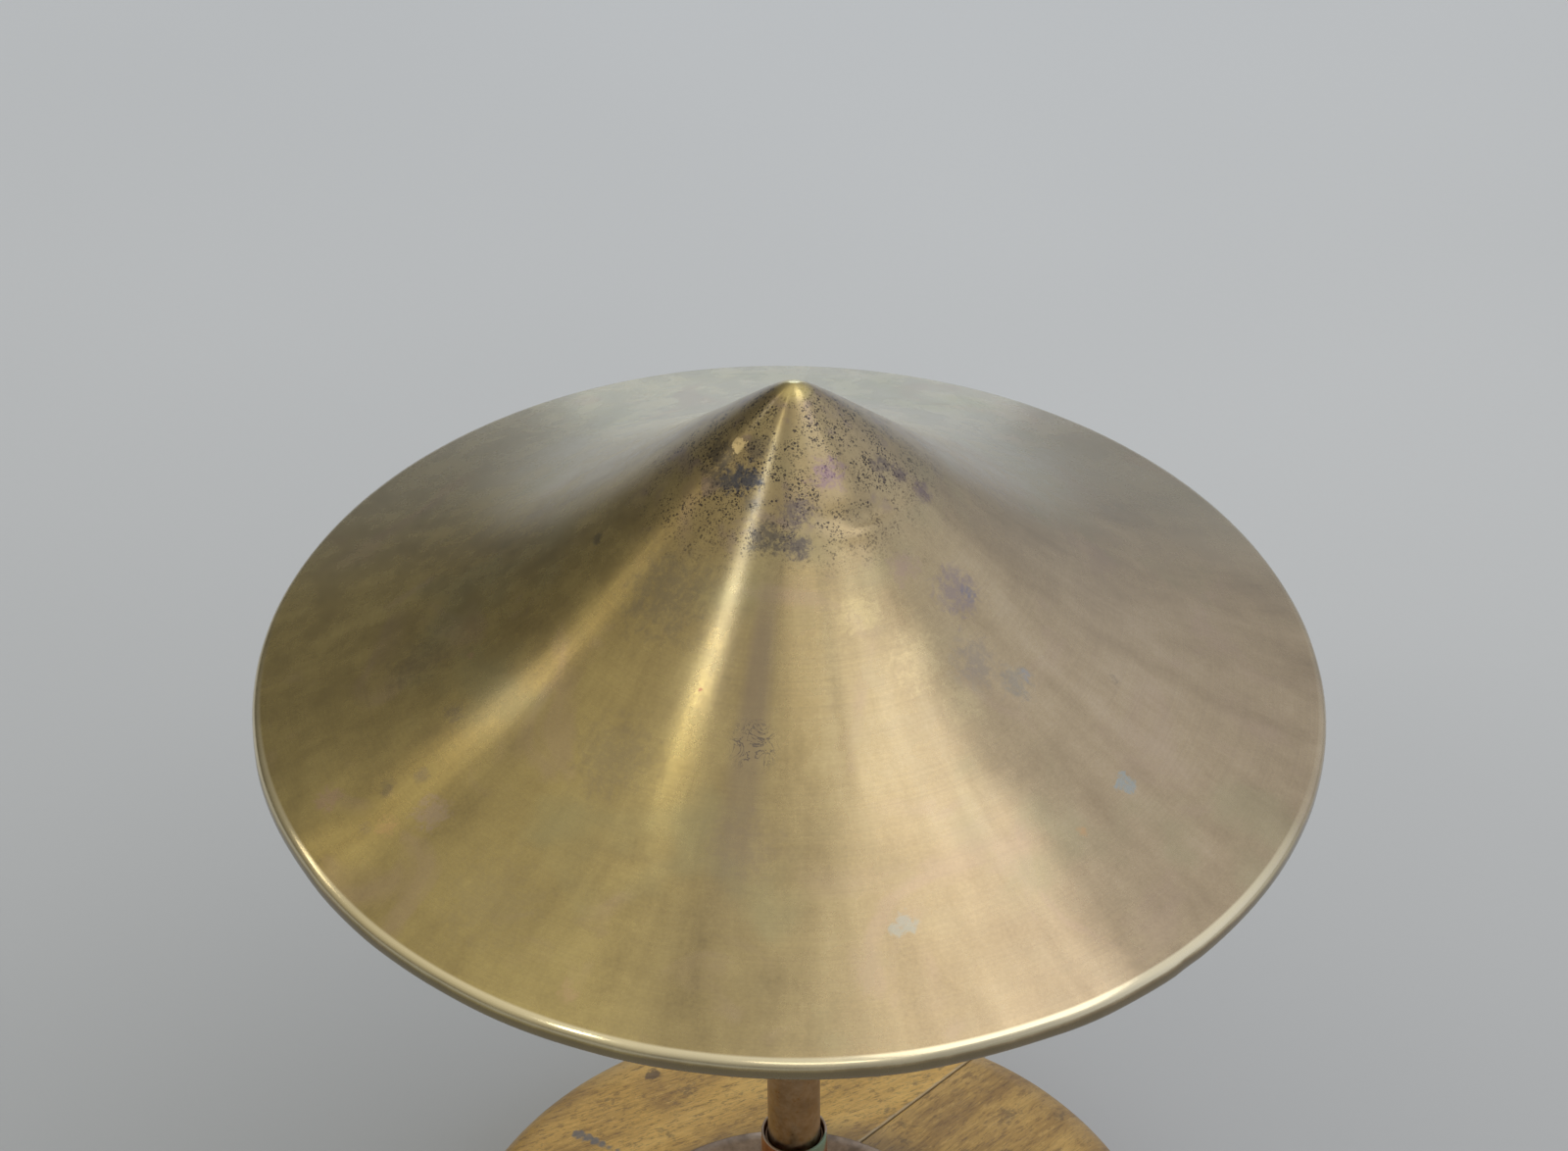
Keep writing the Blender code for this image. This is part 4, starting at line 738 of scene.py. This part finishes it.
def shade_profile():
    """The outer face with its rolled hem, from the point down, and the inner face, back up to the point."""
    radii = {r * r / 14.0 for r in (0, 3, 5, 7, 9, 11, 13)} | {12.5 + i for i in range(50)}
    radii |= {62.5 + 2.0 * i for i in range(55)} | {171.8}
    outer = [(r, shade_height(r)) for r in sorted(radii)]
    rim_z = outer[-1][1]
    lip = [(173.0, rim_z - 0.45), (173.9, rim_z - 1.05), (174.5, rim_z - 1.9), (174.85, rim_z - 2.9)]
    hem = arc(172.4, -4.1, 2.55, 0, -200, 12)
    seam = shade_height(170.4) - 1.0
    edge = [(169.9, -2.6), (169.9, seam - 0.5), (170.4, seam), (171.0, seam - 0.7), (170.9, -2.6)]
    inside_hem = arc(172.4, -4.1, 1.7, -190, 0, 6) + [(174.0, -2.6), (173.4, -0.9), (172.2, -0.1)]
    wall = 0.9
    inner = []
    for r, z in reversed(outer[2:]):
        slope = shade_height(r) - shade_height(r + 1)
        inner.append((r, z - wall * math.hypot(1, slope)))
    return outer + lip + hem, edge + inside_hem + inner + [(0, inner[-1][1] + 0.6)]


def dent(r, angle, place, bearing, long, wide, depth, slant=0.0):
    """Depth of a smooth dent of this size round a place on the shade, turned by slant from its ring."""
    across = r - place
    along = r * (((angle - math.radians(bearing) + math.pi) % (2 * math.pi)) - math.pi)
    a = math.radians(slant)
    across, along = across * math.cos(a) - along * math.sin(a), across * math.sin(a) + along * math.cos(a)
    return depth * math.exp(-((across / wide) ** 2) - (along / long) ** 2)


# Radius, bearing, length, width, depth and slant; the first two are the crease near the point and its ridge.
SHADE_DENTS = (
    (35, 311, 11, 2.6, 1.6, 4),
    (39, 309, 10.5, 1.7, -0.6, 4),
    (64, 300, 10, 9, 0.35),
    (74, 318, 8, 12, 0.3),
    (118, 300, 14, 16, 0.3),
    (150, 205, 12, 9, 0.3),
    (160, 160, 16, 8, 0.35),
    (22, 216, 4, 3, 0.2),
)


def shade_warp(r, angle, z):
    """Hand-made unevenness: slow waves over the sheet, a wavy rim, dents and the crease by the point."""
    x, y = math.cos(angle), math.sin(angle)
    soft = noise.noise(Vector((x * r / 38, y * r / 38, 1.7))) * 0.16
    slow = noise.noise(Vector((x * r / 80 + 5, y * r / 80, 0.3))) * 0.35
    drop = (soft + slow) * min(1.0, r / 25) - sum(dent(r, angle, *size) for size in SHADE_DENTS)
    edge = max(0.0, (r - 150) / 25) ** 2
    wave = noise.noise(Vector((x * 2.6, y * 2.6, 8.2))) + 0.5 * noise.noise(Vector((x * 7, y * 7, 3.1)))
    pull = 0.45 + 0.45 * wave + dent(r, angle, 174, 313, 3.2, 6, 0.35)
    radius = r - edge * max(0.02, pull)
    return (radius * x, radius * y, z + drop * min(1.0, (175 - r) / 12 + 0.25) + edge * 0.5 * wave)


def make_shade():
    outside, inside = shade_profile()
    piece = lathe("shade_look", outside + inside, 288, shade_warp, inside_from=len(outside) - 1)
    show(piece, "shade_brass", "shade_unit", "shade", shade_place())
    piece.data.materials.append(LOOKS["shade_inside"])
    refined("shade_boss", "fitting_brass", "shade_unit", 0.4)
    wire = arc(172.2, -4.1, 1.2, 0, 330, 11)
    turned(wire, "ballast_iron", "shade_unit", "rim_wire", shade_place(), 192)


# ----- Harp and tilter -----


def knurled(name, radius, bottom, top, flutes, depth, bore=0.0):
    """A knob with a diamond-cut grip between smooth edges, and either a bore or a shallow recess."""
    face = [(bore, top)] if bore else [(0, top - 0.7), (radius * 0.5, top - 0.7), (radius * 0.56, top)]
    face += [(radius - 0.9, top), (radius - 0.2, top - 0.4)]
    rows = 14
    grip = [(radius, top - 0.7 - (top - bottom - 1.4) * i / rows) for i in range(rows + 1)]
    profile = face + grip + [(radius - 0.2, bottom + 0.4), (radius - 0.9, bottom), (bore, bottom)]

    def cut(r, angle, z):
        if r > radius - 0.05 and bottom + 0.6 < z < top - 0.6:
            left = abs(math.sin(flutes / 2 * angle + (z - bottom) * 1.6))
            right = abs(math.sin(flutes / 2 * angle - (z - bottom) * 1.6))
            r -= depth * (1 - min(left, right))
        return (r * math.cos(angle), r * math.sin(angle), z)

    return lathe(name, profile, flutes * 8, cut)


def tube_between(name, points, radius, resolution=10):
    """A round wire through points, as a mesh with closed ends."""
    curve = bpy.data.curves.new(name, "CURVE")
    curve.dimensions = "3D"
    curve.bevel_depth = radius * MM
    curve.bevel_resolution = resolution
    curve.use_fill_caps = True
    spline = curve.splines.new("POLY")
    spline.points.add(len(points) - 1)
    for point, place in zip(spline.points, points):
        point.co = (*[c * MM for c in place], 1)
    path = bpy.data.objects.new(name + "_path", curve)
    bpy.context.scene.collection.objects.link(path)
    mesh = bpy.data.meshes.new_from_object(path.evaluated_get(bpy.context.evaluated_depsgraph_get()))
    bpy.data.objects.remove(path)
    mesh.name = name
    for face in mesh.polygons:
        face.use_smooth = True
    return bpy.data.objects.new(name, mesh)


def join(name, *objs):
    """One mesh made of several."""
    shape = bmesh.new()
    for obj in objs:
        shape.from_mesh(obj.data)
    mesh = bpy.data.meshes.new(name)
    shape.to_mesh(mesh)
    shape.free()
    return bpy.data.objects.new(name, mesh)


def make_harp():
    foot, shoulder, arch_height = 271.6, 345.0, 40.5
    leg = [(HARP_HALF_WIDTH, 0, foot + (shoulder - foot) * i / 9) for i in range(9)]
    arch = [(x, 0, z) for x, z in arc(0, shoulder, HARP_HALF_WIDTH, 0, 180, 40, arch_height)]
    bow = tube_between("bow_wire", leg + arch + [(-x, y, z) for x, y, z in reversed(leg)], 2.2)
    boss = lathe("bow_boss", rounded(tube(5.9, 2.85, 382.8, 388.2), 0.6), 64)
    show(join("harp_bow_look", bow, boss), "fitting_brass", "stem", "harp_bow")
    refined("harp_saddle", "fitting_brass", "stem", 0.5)
    ferrule = [(3.8, 275.9), (3.8, 262.6), (3.75, 261.0), (2.55, 261.0), (2.55, 275.9)]
    for side, x in (("left", -HARP_HALF_WIDTH), ("right", HARP_HALF_WIDTH)):
        place = Matrix.Translation((x * MM, 0, 0))
        turned(ferrule, "fitting_brass", f"{side}_ferrule", f"ferrule_{side}", place, 64, 0.5)
    stud = [(0, 393.4), (2.48, 393.4), (2.48, 382.3), (4.95, 382.3), (4.6, 380.5), (0, 380.5)]
    turned(stud, "steel", "stem", "swivel_stud", segments=48, edge=0.35)


def make_tilter():
    refined("tilt_fork", "fitting_brass", "fork", 0.35)
    lying = along_y(PIVOT_Z)
    pin = [(0, 11.2), (1.4, 11.2), (1.96, 10.6), (1.96, -5.8)]
    pin += [(3.95, -5.8), (3.6, -8.1), (2.6, -8.4), (0, -8.4)]
    turned(pin, "steel", "fork", "tilt_pin", lying, 48, 0.3)
    nut = knurled("tilt_nut_look", 6.45, 5.85, 11.25, 28, 0.35, bore=2.35)
    show(nut, "fitting_brass", "lock_nut", "tilt_nut", lying)


# ----- Lampholder and bulb -----


def threaded_shell(name, outer, bottom, top, depth):
    """A thin threaded shell; its ridges climb round it as a real thread does."""
    wall = 0.3
    steps = int((top - bottom) / 0.4)
    heights = [top - (top - bottom) * i / steps for i in range(steps + 1)]
    profile = [(outer, z) for z in heights] + [(outer - wall, z) for z in reversed(heights)]

    def screw(r, angle, z):
        fade = max(0.0, min(1.0, (z - bottom) / THREAD_PITCH, (top - z) / THREAD_PITCH))
        phase = 2 * math.pi * (z / THREAD_PITCH) - angle
        r -= depth * fade * (0.5 - 0.5 * math.cos(phase))
        return (r * math.cos(angle), r * math.sin(angle), z)

    return lathe(name, profile, 96, screw)


def make_lampholder():
    dome = arc(8.0, 280.9, 11.2, 0, 90, 18, -14.0)
    dome_inside = arc(8.0, 280.9, 10.1, 0, 90, 18, -12.9)
    cap = dome + [(8.0, 261.4), (7.5, 260.95), (5.55, 260.95), (5.55, 268.0)] + dome_inside[::-1]
    turned(cap, "fitting_brass", "stem", "holder_cap")

    profile = [(19.2, 317.1)]
    for z in (314.5, 312.5, 286.5, 284.5):
        profile += [(19.2, z + 0.9), (18.85, z + 0.3), (18.85, z - 0.3), (19.2, z - 0.9)]
    shell = lathe("holder_shell_look", profile + [(19.2, 281.3), (18.15, 281.3), (18.15, 317.1)], 192)
    insulator = lathe("insulator_look", rounded(tube(17.5, 4.7, 281.7, 293.3), 0.8))
    for piece in (shell, insulator):
        bored(piece, 2.3, 5, 30, along_y(SWITCH_Z), 32)
    show(shell, "fitting_brass", "stem", "holder_shell")
    show(insulator, "porcelain", "stem", "holder_insulator")
    refined("centre_contact", "fitting_brass", "stem", 0.25)
    threads = threaded_shell("screw_shell_look", 14.4, 293.9, 312.7, 0.35)
    show(threads, "fitting_brass", "stem", "screw_shell")
    mouth = [(19.0, 323.9), (20.5, 322.6), (20.5, 320.2), (20.1, 319.6), (20.5, 319.0), (20.5, 317.6)]
    mouth += [(17.75, 317.6), (17.75, 303.6), (14.75, 303.6), (14.75, 323.9)]
    turned(mouth, "porcelain", "stem", "mouth_ring", edge=0.6)

    spindle = [(0, 26.6), (1.85, 26.6), (1.85, 7.05), (0, 7.05)]
    turned(spindle, "steel", "switch", "key_spindle", along_y(SWITCH_Z), 32, 0.3)
    key_radius = 7.4
    blank = [(0, 1.45), (key_radius, 1.1), (key_radius, -1.1), (0, -1.45)]
    key = lathe("switch_key_look", rounded(blank, 0.5, closed=False))
    for vertex in key.data.vertices:
        x, y, z = vertex.co
        thickness = 0.76 + 0.252 * (x / (key_radius * MM)) ** 2
        vertex.co = (x, y * 0.78, z * min(1.0, thickness))
    front = Matrix.Translation((0, -33.0 * MM, SWITCH_Z * MM)) @ Matrix.Rotation(math.radians(90), 4, "Y")
    show(key, "bakelite", "switch", "switch_key", front)


def make_bulb():
    contact = [(0, 296.5), (4.4, 296.5), (3.6, 295.6), (1.8, 295.35), (0, 295.35)]
    turned(contact, "bulb_solder", "bulb_end", "bulb_contact", segments=48, edge=0.25)
    foot = [(0, 300.5), (12.1, 300.5), (10.6, 299.4), (4.7, 296.95), (0, 296.95)]
    turned(foot, "bulb_black_glass", "bulb_end", "bulb_foot", segments=64, edge=0.4)
    cap = threaded_shell("bulb_cap_look", 13.2, 300.95, 318.85, 0.55)
    show(cap, "fitting_brass", "bulb", "bulb_cap")
    globe = [(0, 365.4)] + arc(0, GLOBE_Z, 22.0, 90, -45, 40)[1:]
    globe_inside = [(0, 364.7)] + arc(0, GLOBE_Z, 21.3, 90, -45, 40)[1:]
    neck = [(14.4, 325.8), (13.3, 323.4), (12.6, 320.9), (12.25, 318.9), (12.2, 309.0)]
    neck_inside = [(13.6, 325.8), (12.5, 323.4), (11.85, 320.9), (11.5, 318.9), (11.45, 309.0)]
    glass = globe + neck + neck_inside[::-1] + globe_inside[::-1]
    turned(glass, "bulb_clear_glass", "bulb", "bulb_glass")
    mount = [(0, 327.8), (1.7, 327.8), (2.2, 326.9), (1.7, 325.9), (3.1, 323.4), (3.1, 311.5), (6.5, 305.5)]
    mount += [(10.3, 303.0), (10.3, 302.0), (0, 302.0)]
    turned(mount, "bulb_clear_glass", "bulb", "bulb_mount", segments=64, edge=0.5)
    corners = arc(0, 0, 9.0, 210, 510, 8)
    zigzag = [(x, y, GLOBE_Z + (2.8 if i % 2 else -2.8)) for i, (x, y) in enumerate(corners)]
    wire = [(-1.0, 0, 328.6), (-1.5, 0, 331.8)] + zigzag + [(1.5, 0, 331.8), (1.0, 0, 328.6)]
    show(tube_between("filament_look", wire, 0.3, 3), "filament_wire", "bulb", "filament")


# ----- Stem and sleeve -----


def make_stem():
    stem = [(9.5, 254.95 - 200.4 * i / 60) for i in range(61)] + [(8.35, 54.55), (8.35, 254.95)]

    def drawn(r, angle, z):
        x, y = math.cos(angle), math.sin(angle)
        r -= 0.02 * abs(noise.noise(Vector((x * 1.5, y * 1.5, z / 30))))
        return (r * x, r * y, z)

    turned(stem, "stem_brass", "stem", "stem_tube", warp=drawn)
    turned(tube(10.45, 9.82, 55.55, 61.45), "fitting_brass", "stem", "foot_ring", edge=0.25)
    plug = [(5.15, 268.2), (5.15, 258.3), (10.9, 258.3), (11.45, 257.7), (11.45, 255.9), (10.9, 255.35)]
    plug += [(7.95, 255.35), (7.95, 243.1), (4.45, 243.1), (4.45, 268.2)]
    turned(plug, "fitting_brass", "stem", "stem_plug", edge=0.3)

    heights = [117.6 - 71.8 * i / 40 for i in range(1, 41)]
    sleeve = [(10.95, 117.7), (11.15, 117.97), (11.6, 117.98), (11.9, 117.8), (11.97, 117.5)]
    sleeve += [(11.98, z) for z in heights] + [(10.93, heights[-1])]

    def worn(r, angle, z):
        x, y = math.cos(angle), math.sin(angle)
        if r > 11.5:
            r -= 0.06 * abs(noise.noise(Vector((x * 2.2, y * 2.2, z / 18))))
        lip = 0.12 * abs(noise.noise(Vector((x * 3, y * 3, 4.4)))) if z > 117.4 else 0
        return (r * x, r * y, z - lip)

    outer_tube = lathe("sleeve_tube_look", sleeve, warp=worn)
    bush = lathe("guide_bush_look", rounded(tube(10.55, 9.83, 98.05, 115.95), 0.2))
    clamp_axis = along_y(CLAMP_Z)
    for piece in (outer_tube, bush):
        bored(piece, 2.45, 5, 30, clamp_axis, 40)
    show(outer_tube, "sleeve_copper", "base", "sleeve_tube")
    show(bush, "disc_brass", "base", "guide_bush")
    refined("clamp_boss", "fitting_brass", "base", 0.5)
    knob = knurled("clamp_knob", 6.95, 18.65, 24.55, 30, 0.45)
    shank = [(0, 19.5), (2.15, 19.5), (2.15, 9.9), (0, 9.9)]
    shank = lathe("clamp_shank", rounded(shank, 0.3, closed=False), 32)
    show(join("clamp_screw_look", knob, shank), "fitting_brass", "clamp", "clamp_screw", clamp_axis)


# ----- Base -----


def base_profile(top):
    """Section of the turned base: top, quarter-round edge, side with a turned line, hollow underside."""
    points = [(0, top)] + [(4.0 * i, top) for i in range(1, 31)] + [(122.5, top), (125.0, top)]
    points += arc(125.9, top - 11.0, 11.0, 90, 0, 12)
    points += [(136.95, 25.5), (136.95, 21.0), (136.3, 20.4), (136.3, 19.8), (136.95, 19.2), (136.95, 14.0)]
    points += arc(128.15, 11.15, 8.75, 0, -90, 8)
    points += [(128.0, 2.35), (95.4, 2.35), (95.4, 4.7), (88.0, 4.7), (88.0, 30.0), (0, 30.0)]
    return points


def base_warp(r, angle, z):
    """Slight shrinkage out of round, a worn top and small knocks on the edge."""
    x, y = math.cos(angle), math.sin(angle)
    knock = noise.noise(Vector((x * 9, y * 9, z / 14)))
    wide = noise.noise(Vector((x * 1.3, y * 1.3, 2.0)))
    near_edge = max(0.0, min(1.0, (r - 118) / 8))
    radius = r - near_edge * (0.08 + 0.25 * max(0.0, wide) + 0.5 * max(0.0, knock - 0.32))
    worn = 0.22 * abs(noise.noise(Vector((x * r / 26, y * r / 26, 0.5)))) if z > 35 else 0.0
    return (radius * x, radius * y, z - worn)


def bore_back(x):
    """Places a piece turned about Z so that its axis runs to the back at the gland's height."""
    return Matrix.Translation((x * MM, 0, GLAND_Z * MM)) @ Matrix.Rotation(math.radians(-90), 4, "X")


def board(node, look, top, side):
    """One of the two boards: the turned block, cut along the glue joint and bored for its fittings."""
    piece = lathe(node + "_look", base_profile(top), 240, base_warp)
    across = Vector((-math.sin(GLUE_ANGLE), math.cos(GLUE_ANGLE), 0))
    shift = Vector((BASE_X, 0, 0))
    size, half_gap = 600.0, 0.3
    mesh = bpy.data.meshes.new("half")
    shape = bmesh.new()
    bmesh.ops.create_cube(shape, size=size * MM)
    shape.to_mesh(mesh)
    shape.free()
    half = bpy.data.objects.new("half", mesh)
    middle = across * (GLUE_DISTANCE + side * (size / 2 - half_gap)) - shift
    cut_away(piece, half, Matrix.Translation(middle * MM) @ Matrix.Rotation(GLUE_ANGLE, 4, "Z"))
    bored(piece, 6.9, -30, 90, Matrix.Translation(-shift * MM), 48)
    if side < 0:
        bored(piece, 5.3, 79, 200, bore_back(0), 48)
    for bearing in SCREW_BEARINGS:
        place = Vector(polar(COVER_SCREW_RADIUS, bearing, 0))
        reach = (place / MM + shift).dot(across) - GLUE_DISTANCE
        if reach * side < 0:
            bored(piece, 1.75, 0, 14.5, Matrix.Translation(place), 24)
    edges = piece.modifiers.new("edges", "BEVEL")
    edges.width = 0.35 * MM
    edges.segments = 2
    edges.limit_method = "ANGLE"
    edges.angle_limit = math.radians(50)
    show(piece, look, "base", node, Matrix.Translation(shift * MM))


def make_base():
    board("base_board_front", "wood_front", BOARD_TOP, 1)
    board("base_board_rear", "wood_rear", REAR_BOARD_TOP, -1)
    disc = [(69.2 - 4 * i, 41.8) for i in range(14, -1, -1)]
    disc += [(69.9, 41.3), (69.95, 40.9), (69.6, 40.4), (10.8, 40.4)]

    def beaten(r, angle, z):
        x, y = math.cos(angle), math.sin(angle)
        sag = 0.12 * abs(noise.noise(Vector((x * r / 20, y * r / 20, 6.6)))) if z > 41 else 0.0
        return (r * x, r * y, z - sag)

    turned(disc, "disc_brass", "base", "base_disc", Matrix.Translation((-4 * MM, 0, 0)), 192, warp=beaten)
    nipple = [(10.55, 49.9), (10.55, 45.4), (14.2, 45.4), (14.95, 44.6), (14.95, 42.15), (6.45, 42.15)]
    nipple += [(6.45, 14.2), (4.55, 14.2), (4.55, 49.9)]
    turned(nipple, "disc_brass", "base", "fixing_nipple", edge=0.35)
    refined("nipple_nut", "fitting_brass", "base", 0.4)
    turned(tube(14.9, 6.85, 19.84, 20.98), "steel", "base", "nipple_washer", edge=0.2)
    turned(tube(63.8, 6.9, 21.4, 29.6), "ballast_iron", "base", "ballast", segments=128, edge=1.2)

    middle = Matrix.Translation((BASE_X * MM, 0, 0))
    cover = rounded([(0, 4.25), (94.9, 4.25), (94.9, 2.4), (0, 2.4)], 0.3, closed=False)
    plate = lathe("bottom_cover_look", cover, 160)
    for bearing in SCREW_BEARINGS:
        sink = lathe("sink", [(0, 9), (1.75, 9), (1.75, 4.3), (3.55, 2.3), (3.55, 0), (0, 0)], 32)
        cut_away(plate, sink, Matrix.Translation(polar(COVER_SCREW_RADIUS, bearing, 0)))
    show(plate, "cover_board", "base", "bottom_cover", middle)
    for number in (1, 2, 3):
        refined(f"cover_screw_{number}", "steel", "base", 0.1)

    felt = [(0, 2.0)] + [(6.0 * i, 2.0) for i in range(1, 22)]
    felt += [(129.6, 2.0), (129.95, 1.5), (129.95, 0.4), (129.6, 0.0)]
    felt += [(6.0 * i, 0.0) for i in range(21, 0, -1)] + [(0, 0)]

    def fuzzy(r, angle, z):
        x, y = math.cos(angle), math.sin(angle)
        if r > 129:
            r -= 0.35 * abs(noise.noise(Vector((x * 40, y * 40, z * 2))))
        sink = 0.15 * abs(noise.noise(Vector((x * r / 4, y * r / 4, 1.0)))) if z >= 1 else 0.0
        return (r * x, r * y, z - sink)

    turned(felt, "base_felt", "base", "felt_pad", middle, 320, warp=fuzzy)

    gland = [(6.4, 139.7), (7.4, 138.7), (7.4, 137.4), (4.8, 137.4), (4.8, 117.4), (3.65, 117.4)]
    gland += [(3.65, 139.0), (4.2, 139.7)]
    turned(gland, "bakelite", "base", "cord_gland", bore_back(BASE_X), 64, 0.5)


make_shade()
make_harp()
make_tilter()
make_lampholder()
make_bulb()
make_stem()
make_base()


# ===== Floor, light and camera =====

# The sky's brightness: everywhere, more of it overhead, to the right, and low at the right.
SKY_LEVEL = 0.16
SKY_RISE = 0.6
SKY_RIGHT = 0.2
SKY_RIGHT_LOW = 0.37
SKY_WARM = (1.0, 0.94, 0.74)
SKY_COOL = (0.93, 0.99, 1.13)
KEY_TINT = (1.0, 0.98, 0.97)
LIT_POINT = Vector((0, 0, 0.38))

# The camera looks down at the lamp; it is held a little out of level.
CAMERA_LENS = 84.6
CAMERA_PLACE = (0, -0.91538, 1.11492)
CAMERA_TURN = (51.1001, 0.5084, -0.3219)


def floor_look():
    g = Graph("floor_pale_grey")
    broad = g.noise(0.9, 3, 0.5)
    fine = g.noise(260, 3, 0.6)
    colour = g.ramp(broad, (0.35, (0.6, 0.61, 0.62)), (0.65, (0.65, 0.66, 0.67)))
    colour = g.mix(g.span(fine, 0.4, 0.7, 0.0, 0.06), colour, (0.57, 0.58, 0.59))
    # Painted shade: the floor is darker towards the front left.
    depth = g.dot(g.coords, (0.35, 1, 0))
    colour = g.mix(g.span(depth, 0.7, -0.3, 0.0, 0.6), colour, (0.35, 0.36, 0.37))
    return g.finish(Base_Color=colour, Roughness=0.75, Normal=g.bump(fine, 0.05, 0.0003))


def make_floor():
    mesh = bpy.data.meshes.new("floor")
    shape = bmesh.new()
    bmesh.ops.create_grid(shape, x_segments=1, y_segments=1, size=12)
    shape.to_mesh(mesh)
    shape.free()
    floor = bpy.data.objects.new("floor", mesh)
    floor.data.materials.append(floor_look())
    bpy.context.scene.collection.objects.link(floor)


def make_world():
    """A soft room: brighter overhead and to the right, shaded at the back left, warm left and cool right."""
    world = bpy.data.worlds.new("soft_room")
    world.use_nodes = True
    tree = world.node_tree
    tree.nodes.clear()
    coords = tree.nodes.new("ShaderNodeTexCoord")
    split = tree.nodes.new("ShaderNodeSeparateXYZ")
    tree.links.new(coords.outputs["Generated"], split.inputs[0])
    x, y, z = split.outputs

    def step(operation, first, second):
        node = tree.nodes.new("ShaderNodeMath")
        node.operation = operation
        for socket, value in zip(node.inputs, (first, second)):
            if isinstance(value, float):
                socket.default_value = value
            else:
                tree.links.new(value, socket)
        return node.outputs[0]

    def less(share):
        """1, less this share of the shadow."""
        return step("SUBTRACT", 1.0, step("MULTIPLY", shadow, share))

    up = step("MAXIMUM", z, 0.0)
    right = step("MAXIMUM", x, 0.0)
    back_left = step("MULTIPLY", step("MULTIPLY", x, -1.0), y)
    shadow = step("MULTIPLY", step("SUBTRACT", back_left, 0.12), 3.0)
    shadow = step("MINIMUM", step("MAXIMUM", shadow, 0.0), 1.0)
    rise = step("MULTIPLY", step("MULTIPLY", up, SKY_RISE), less(0.7))
    level = step("ADD", step("MULTIPLY", less(0.35), SKY_LEVEL), rise)
    low = step("MULTIPLY", step("SUBTRACT", 1.0, up), SKY_RIGHT_LOW)
    level = step("ADD", level, step("MULTIPLY", right, step("ADD", low, SKY_RIGHT)))
    ramp = tree.nodes.new("ShaderNodeValToRGB")
    tree.links.new(step("ADD", step("MULTIPLY", x, 0.5), 0.5), ramp.inputs[0])
    for element, colour in zip(ramp.color_ramp.elements, (SKY_WARM, SKY_COOL)):
        element.color = (*colour, 1)
    background = tree.nodes.new("ShaderNodeBackground")
    tree.links.new(ramp.outputs[0], background.inputs[0])
    tree.links.new(level, background.inputs[1])
    out = tree.nodes.new("ShaderNodeOutputWorld")
    tree.links.new(background.outputs[0], out.inputs[0])
    bpy.context.scene.world = world


def softbox(name, bearing, elevation, distance, width, height, power, tint, along=None):
    """An area light in this direction from the shade, facing it; along is the way its width runs."""
    b, e = math.radians(bearing), math.radians(elevation)
    direction = Vector((math.cos(e) * math.cos(b), math.cos(e) * math.sin(b), math.sin(e)))
    data = bpy.data.lights.new(name, "AREA")
    data.shape = "RECTANGLE"
    data.size = width
    data.size_y = height
    data.energy = power
    data.color = tint
    light = bpy.data.objects.new(name, data)
    light.location = LIT_POINT + direction * distance
    side = Vector(along or (-math.sin(b), math.cos(b), 0))
    side = (side - direction * side.dot(direction)).normalized()
    turn = Matrix((side, direction.cross(side), direction)).transposed()
    light.rotation_euler = turn.to_euler()
    bpy.context.scene.collection.objects.link(light)


def make_lights():
    make_world()
    lengthwise = (-0.6, 1.41, 0.48)
    softbox("key_wide", -15, 65, 2.2, 1.8, 1.1, 5.6, KEY_TINT, lengthwise)
    softbox("key_core", -15, 65, 2.2, 1.8, 0.5, 4.4, KEY_TINT, lengthwise)
    softbox("fill_front", -82, 50, 2.2, 0.7, 0.4, 1.2, (1.0, 0.96, 0.86))
    softbox("strip_left", -137, 50, 2.2, 0.19, 0.34, 1.7, (0.98, 1.0, 0.92))
    softbox("soft_left", 158, 36, 2.2, 0.34, 0.3, 0.65, (1.0, 0.92, 0.74))
    softbox("wall_back", 89, 12, 2.6, 1.0, 1.0, 6.6, (0.66, 0.82, 1.05))


def make_camera():
    data = bpy.data.cameras.new("view")
    data.sensor_width = 36.0
    data.lens = CAMERA_LENS
    camera = bpy.data.objects.new("view", data)
    camera.location = CAMERA_PLACE
    camera.rotation_euler = [math.radians(angle) for angle in CAMERA_TURN]
    bpy.context.scene.collection.objects.link(camera)
    bpy.context.scene.camera = camera


make_floor()
make_lights()
make_camera()
bpy.context.scene.view_settings.view_transform = "Standard"
bpy.context.scene.view_settings.look = "None"
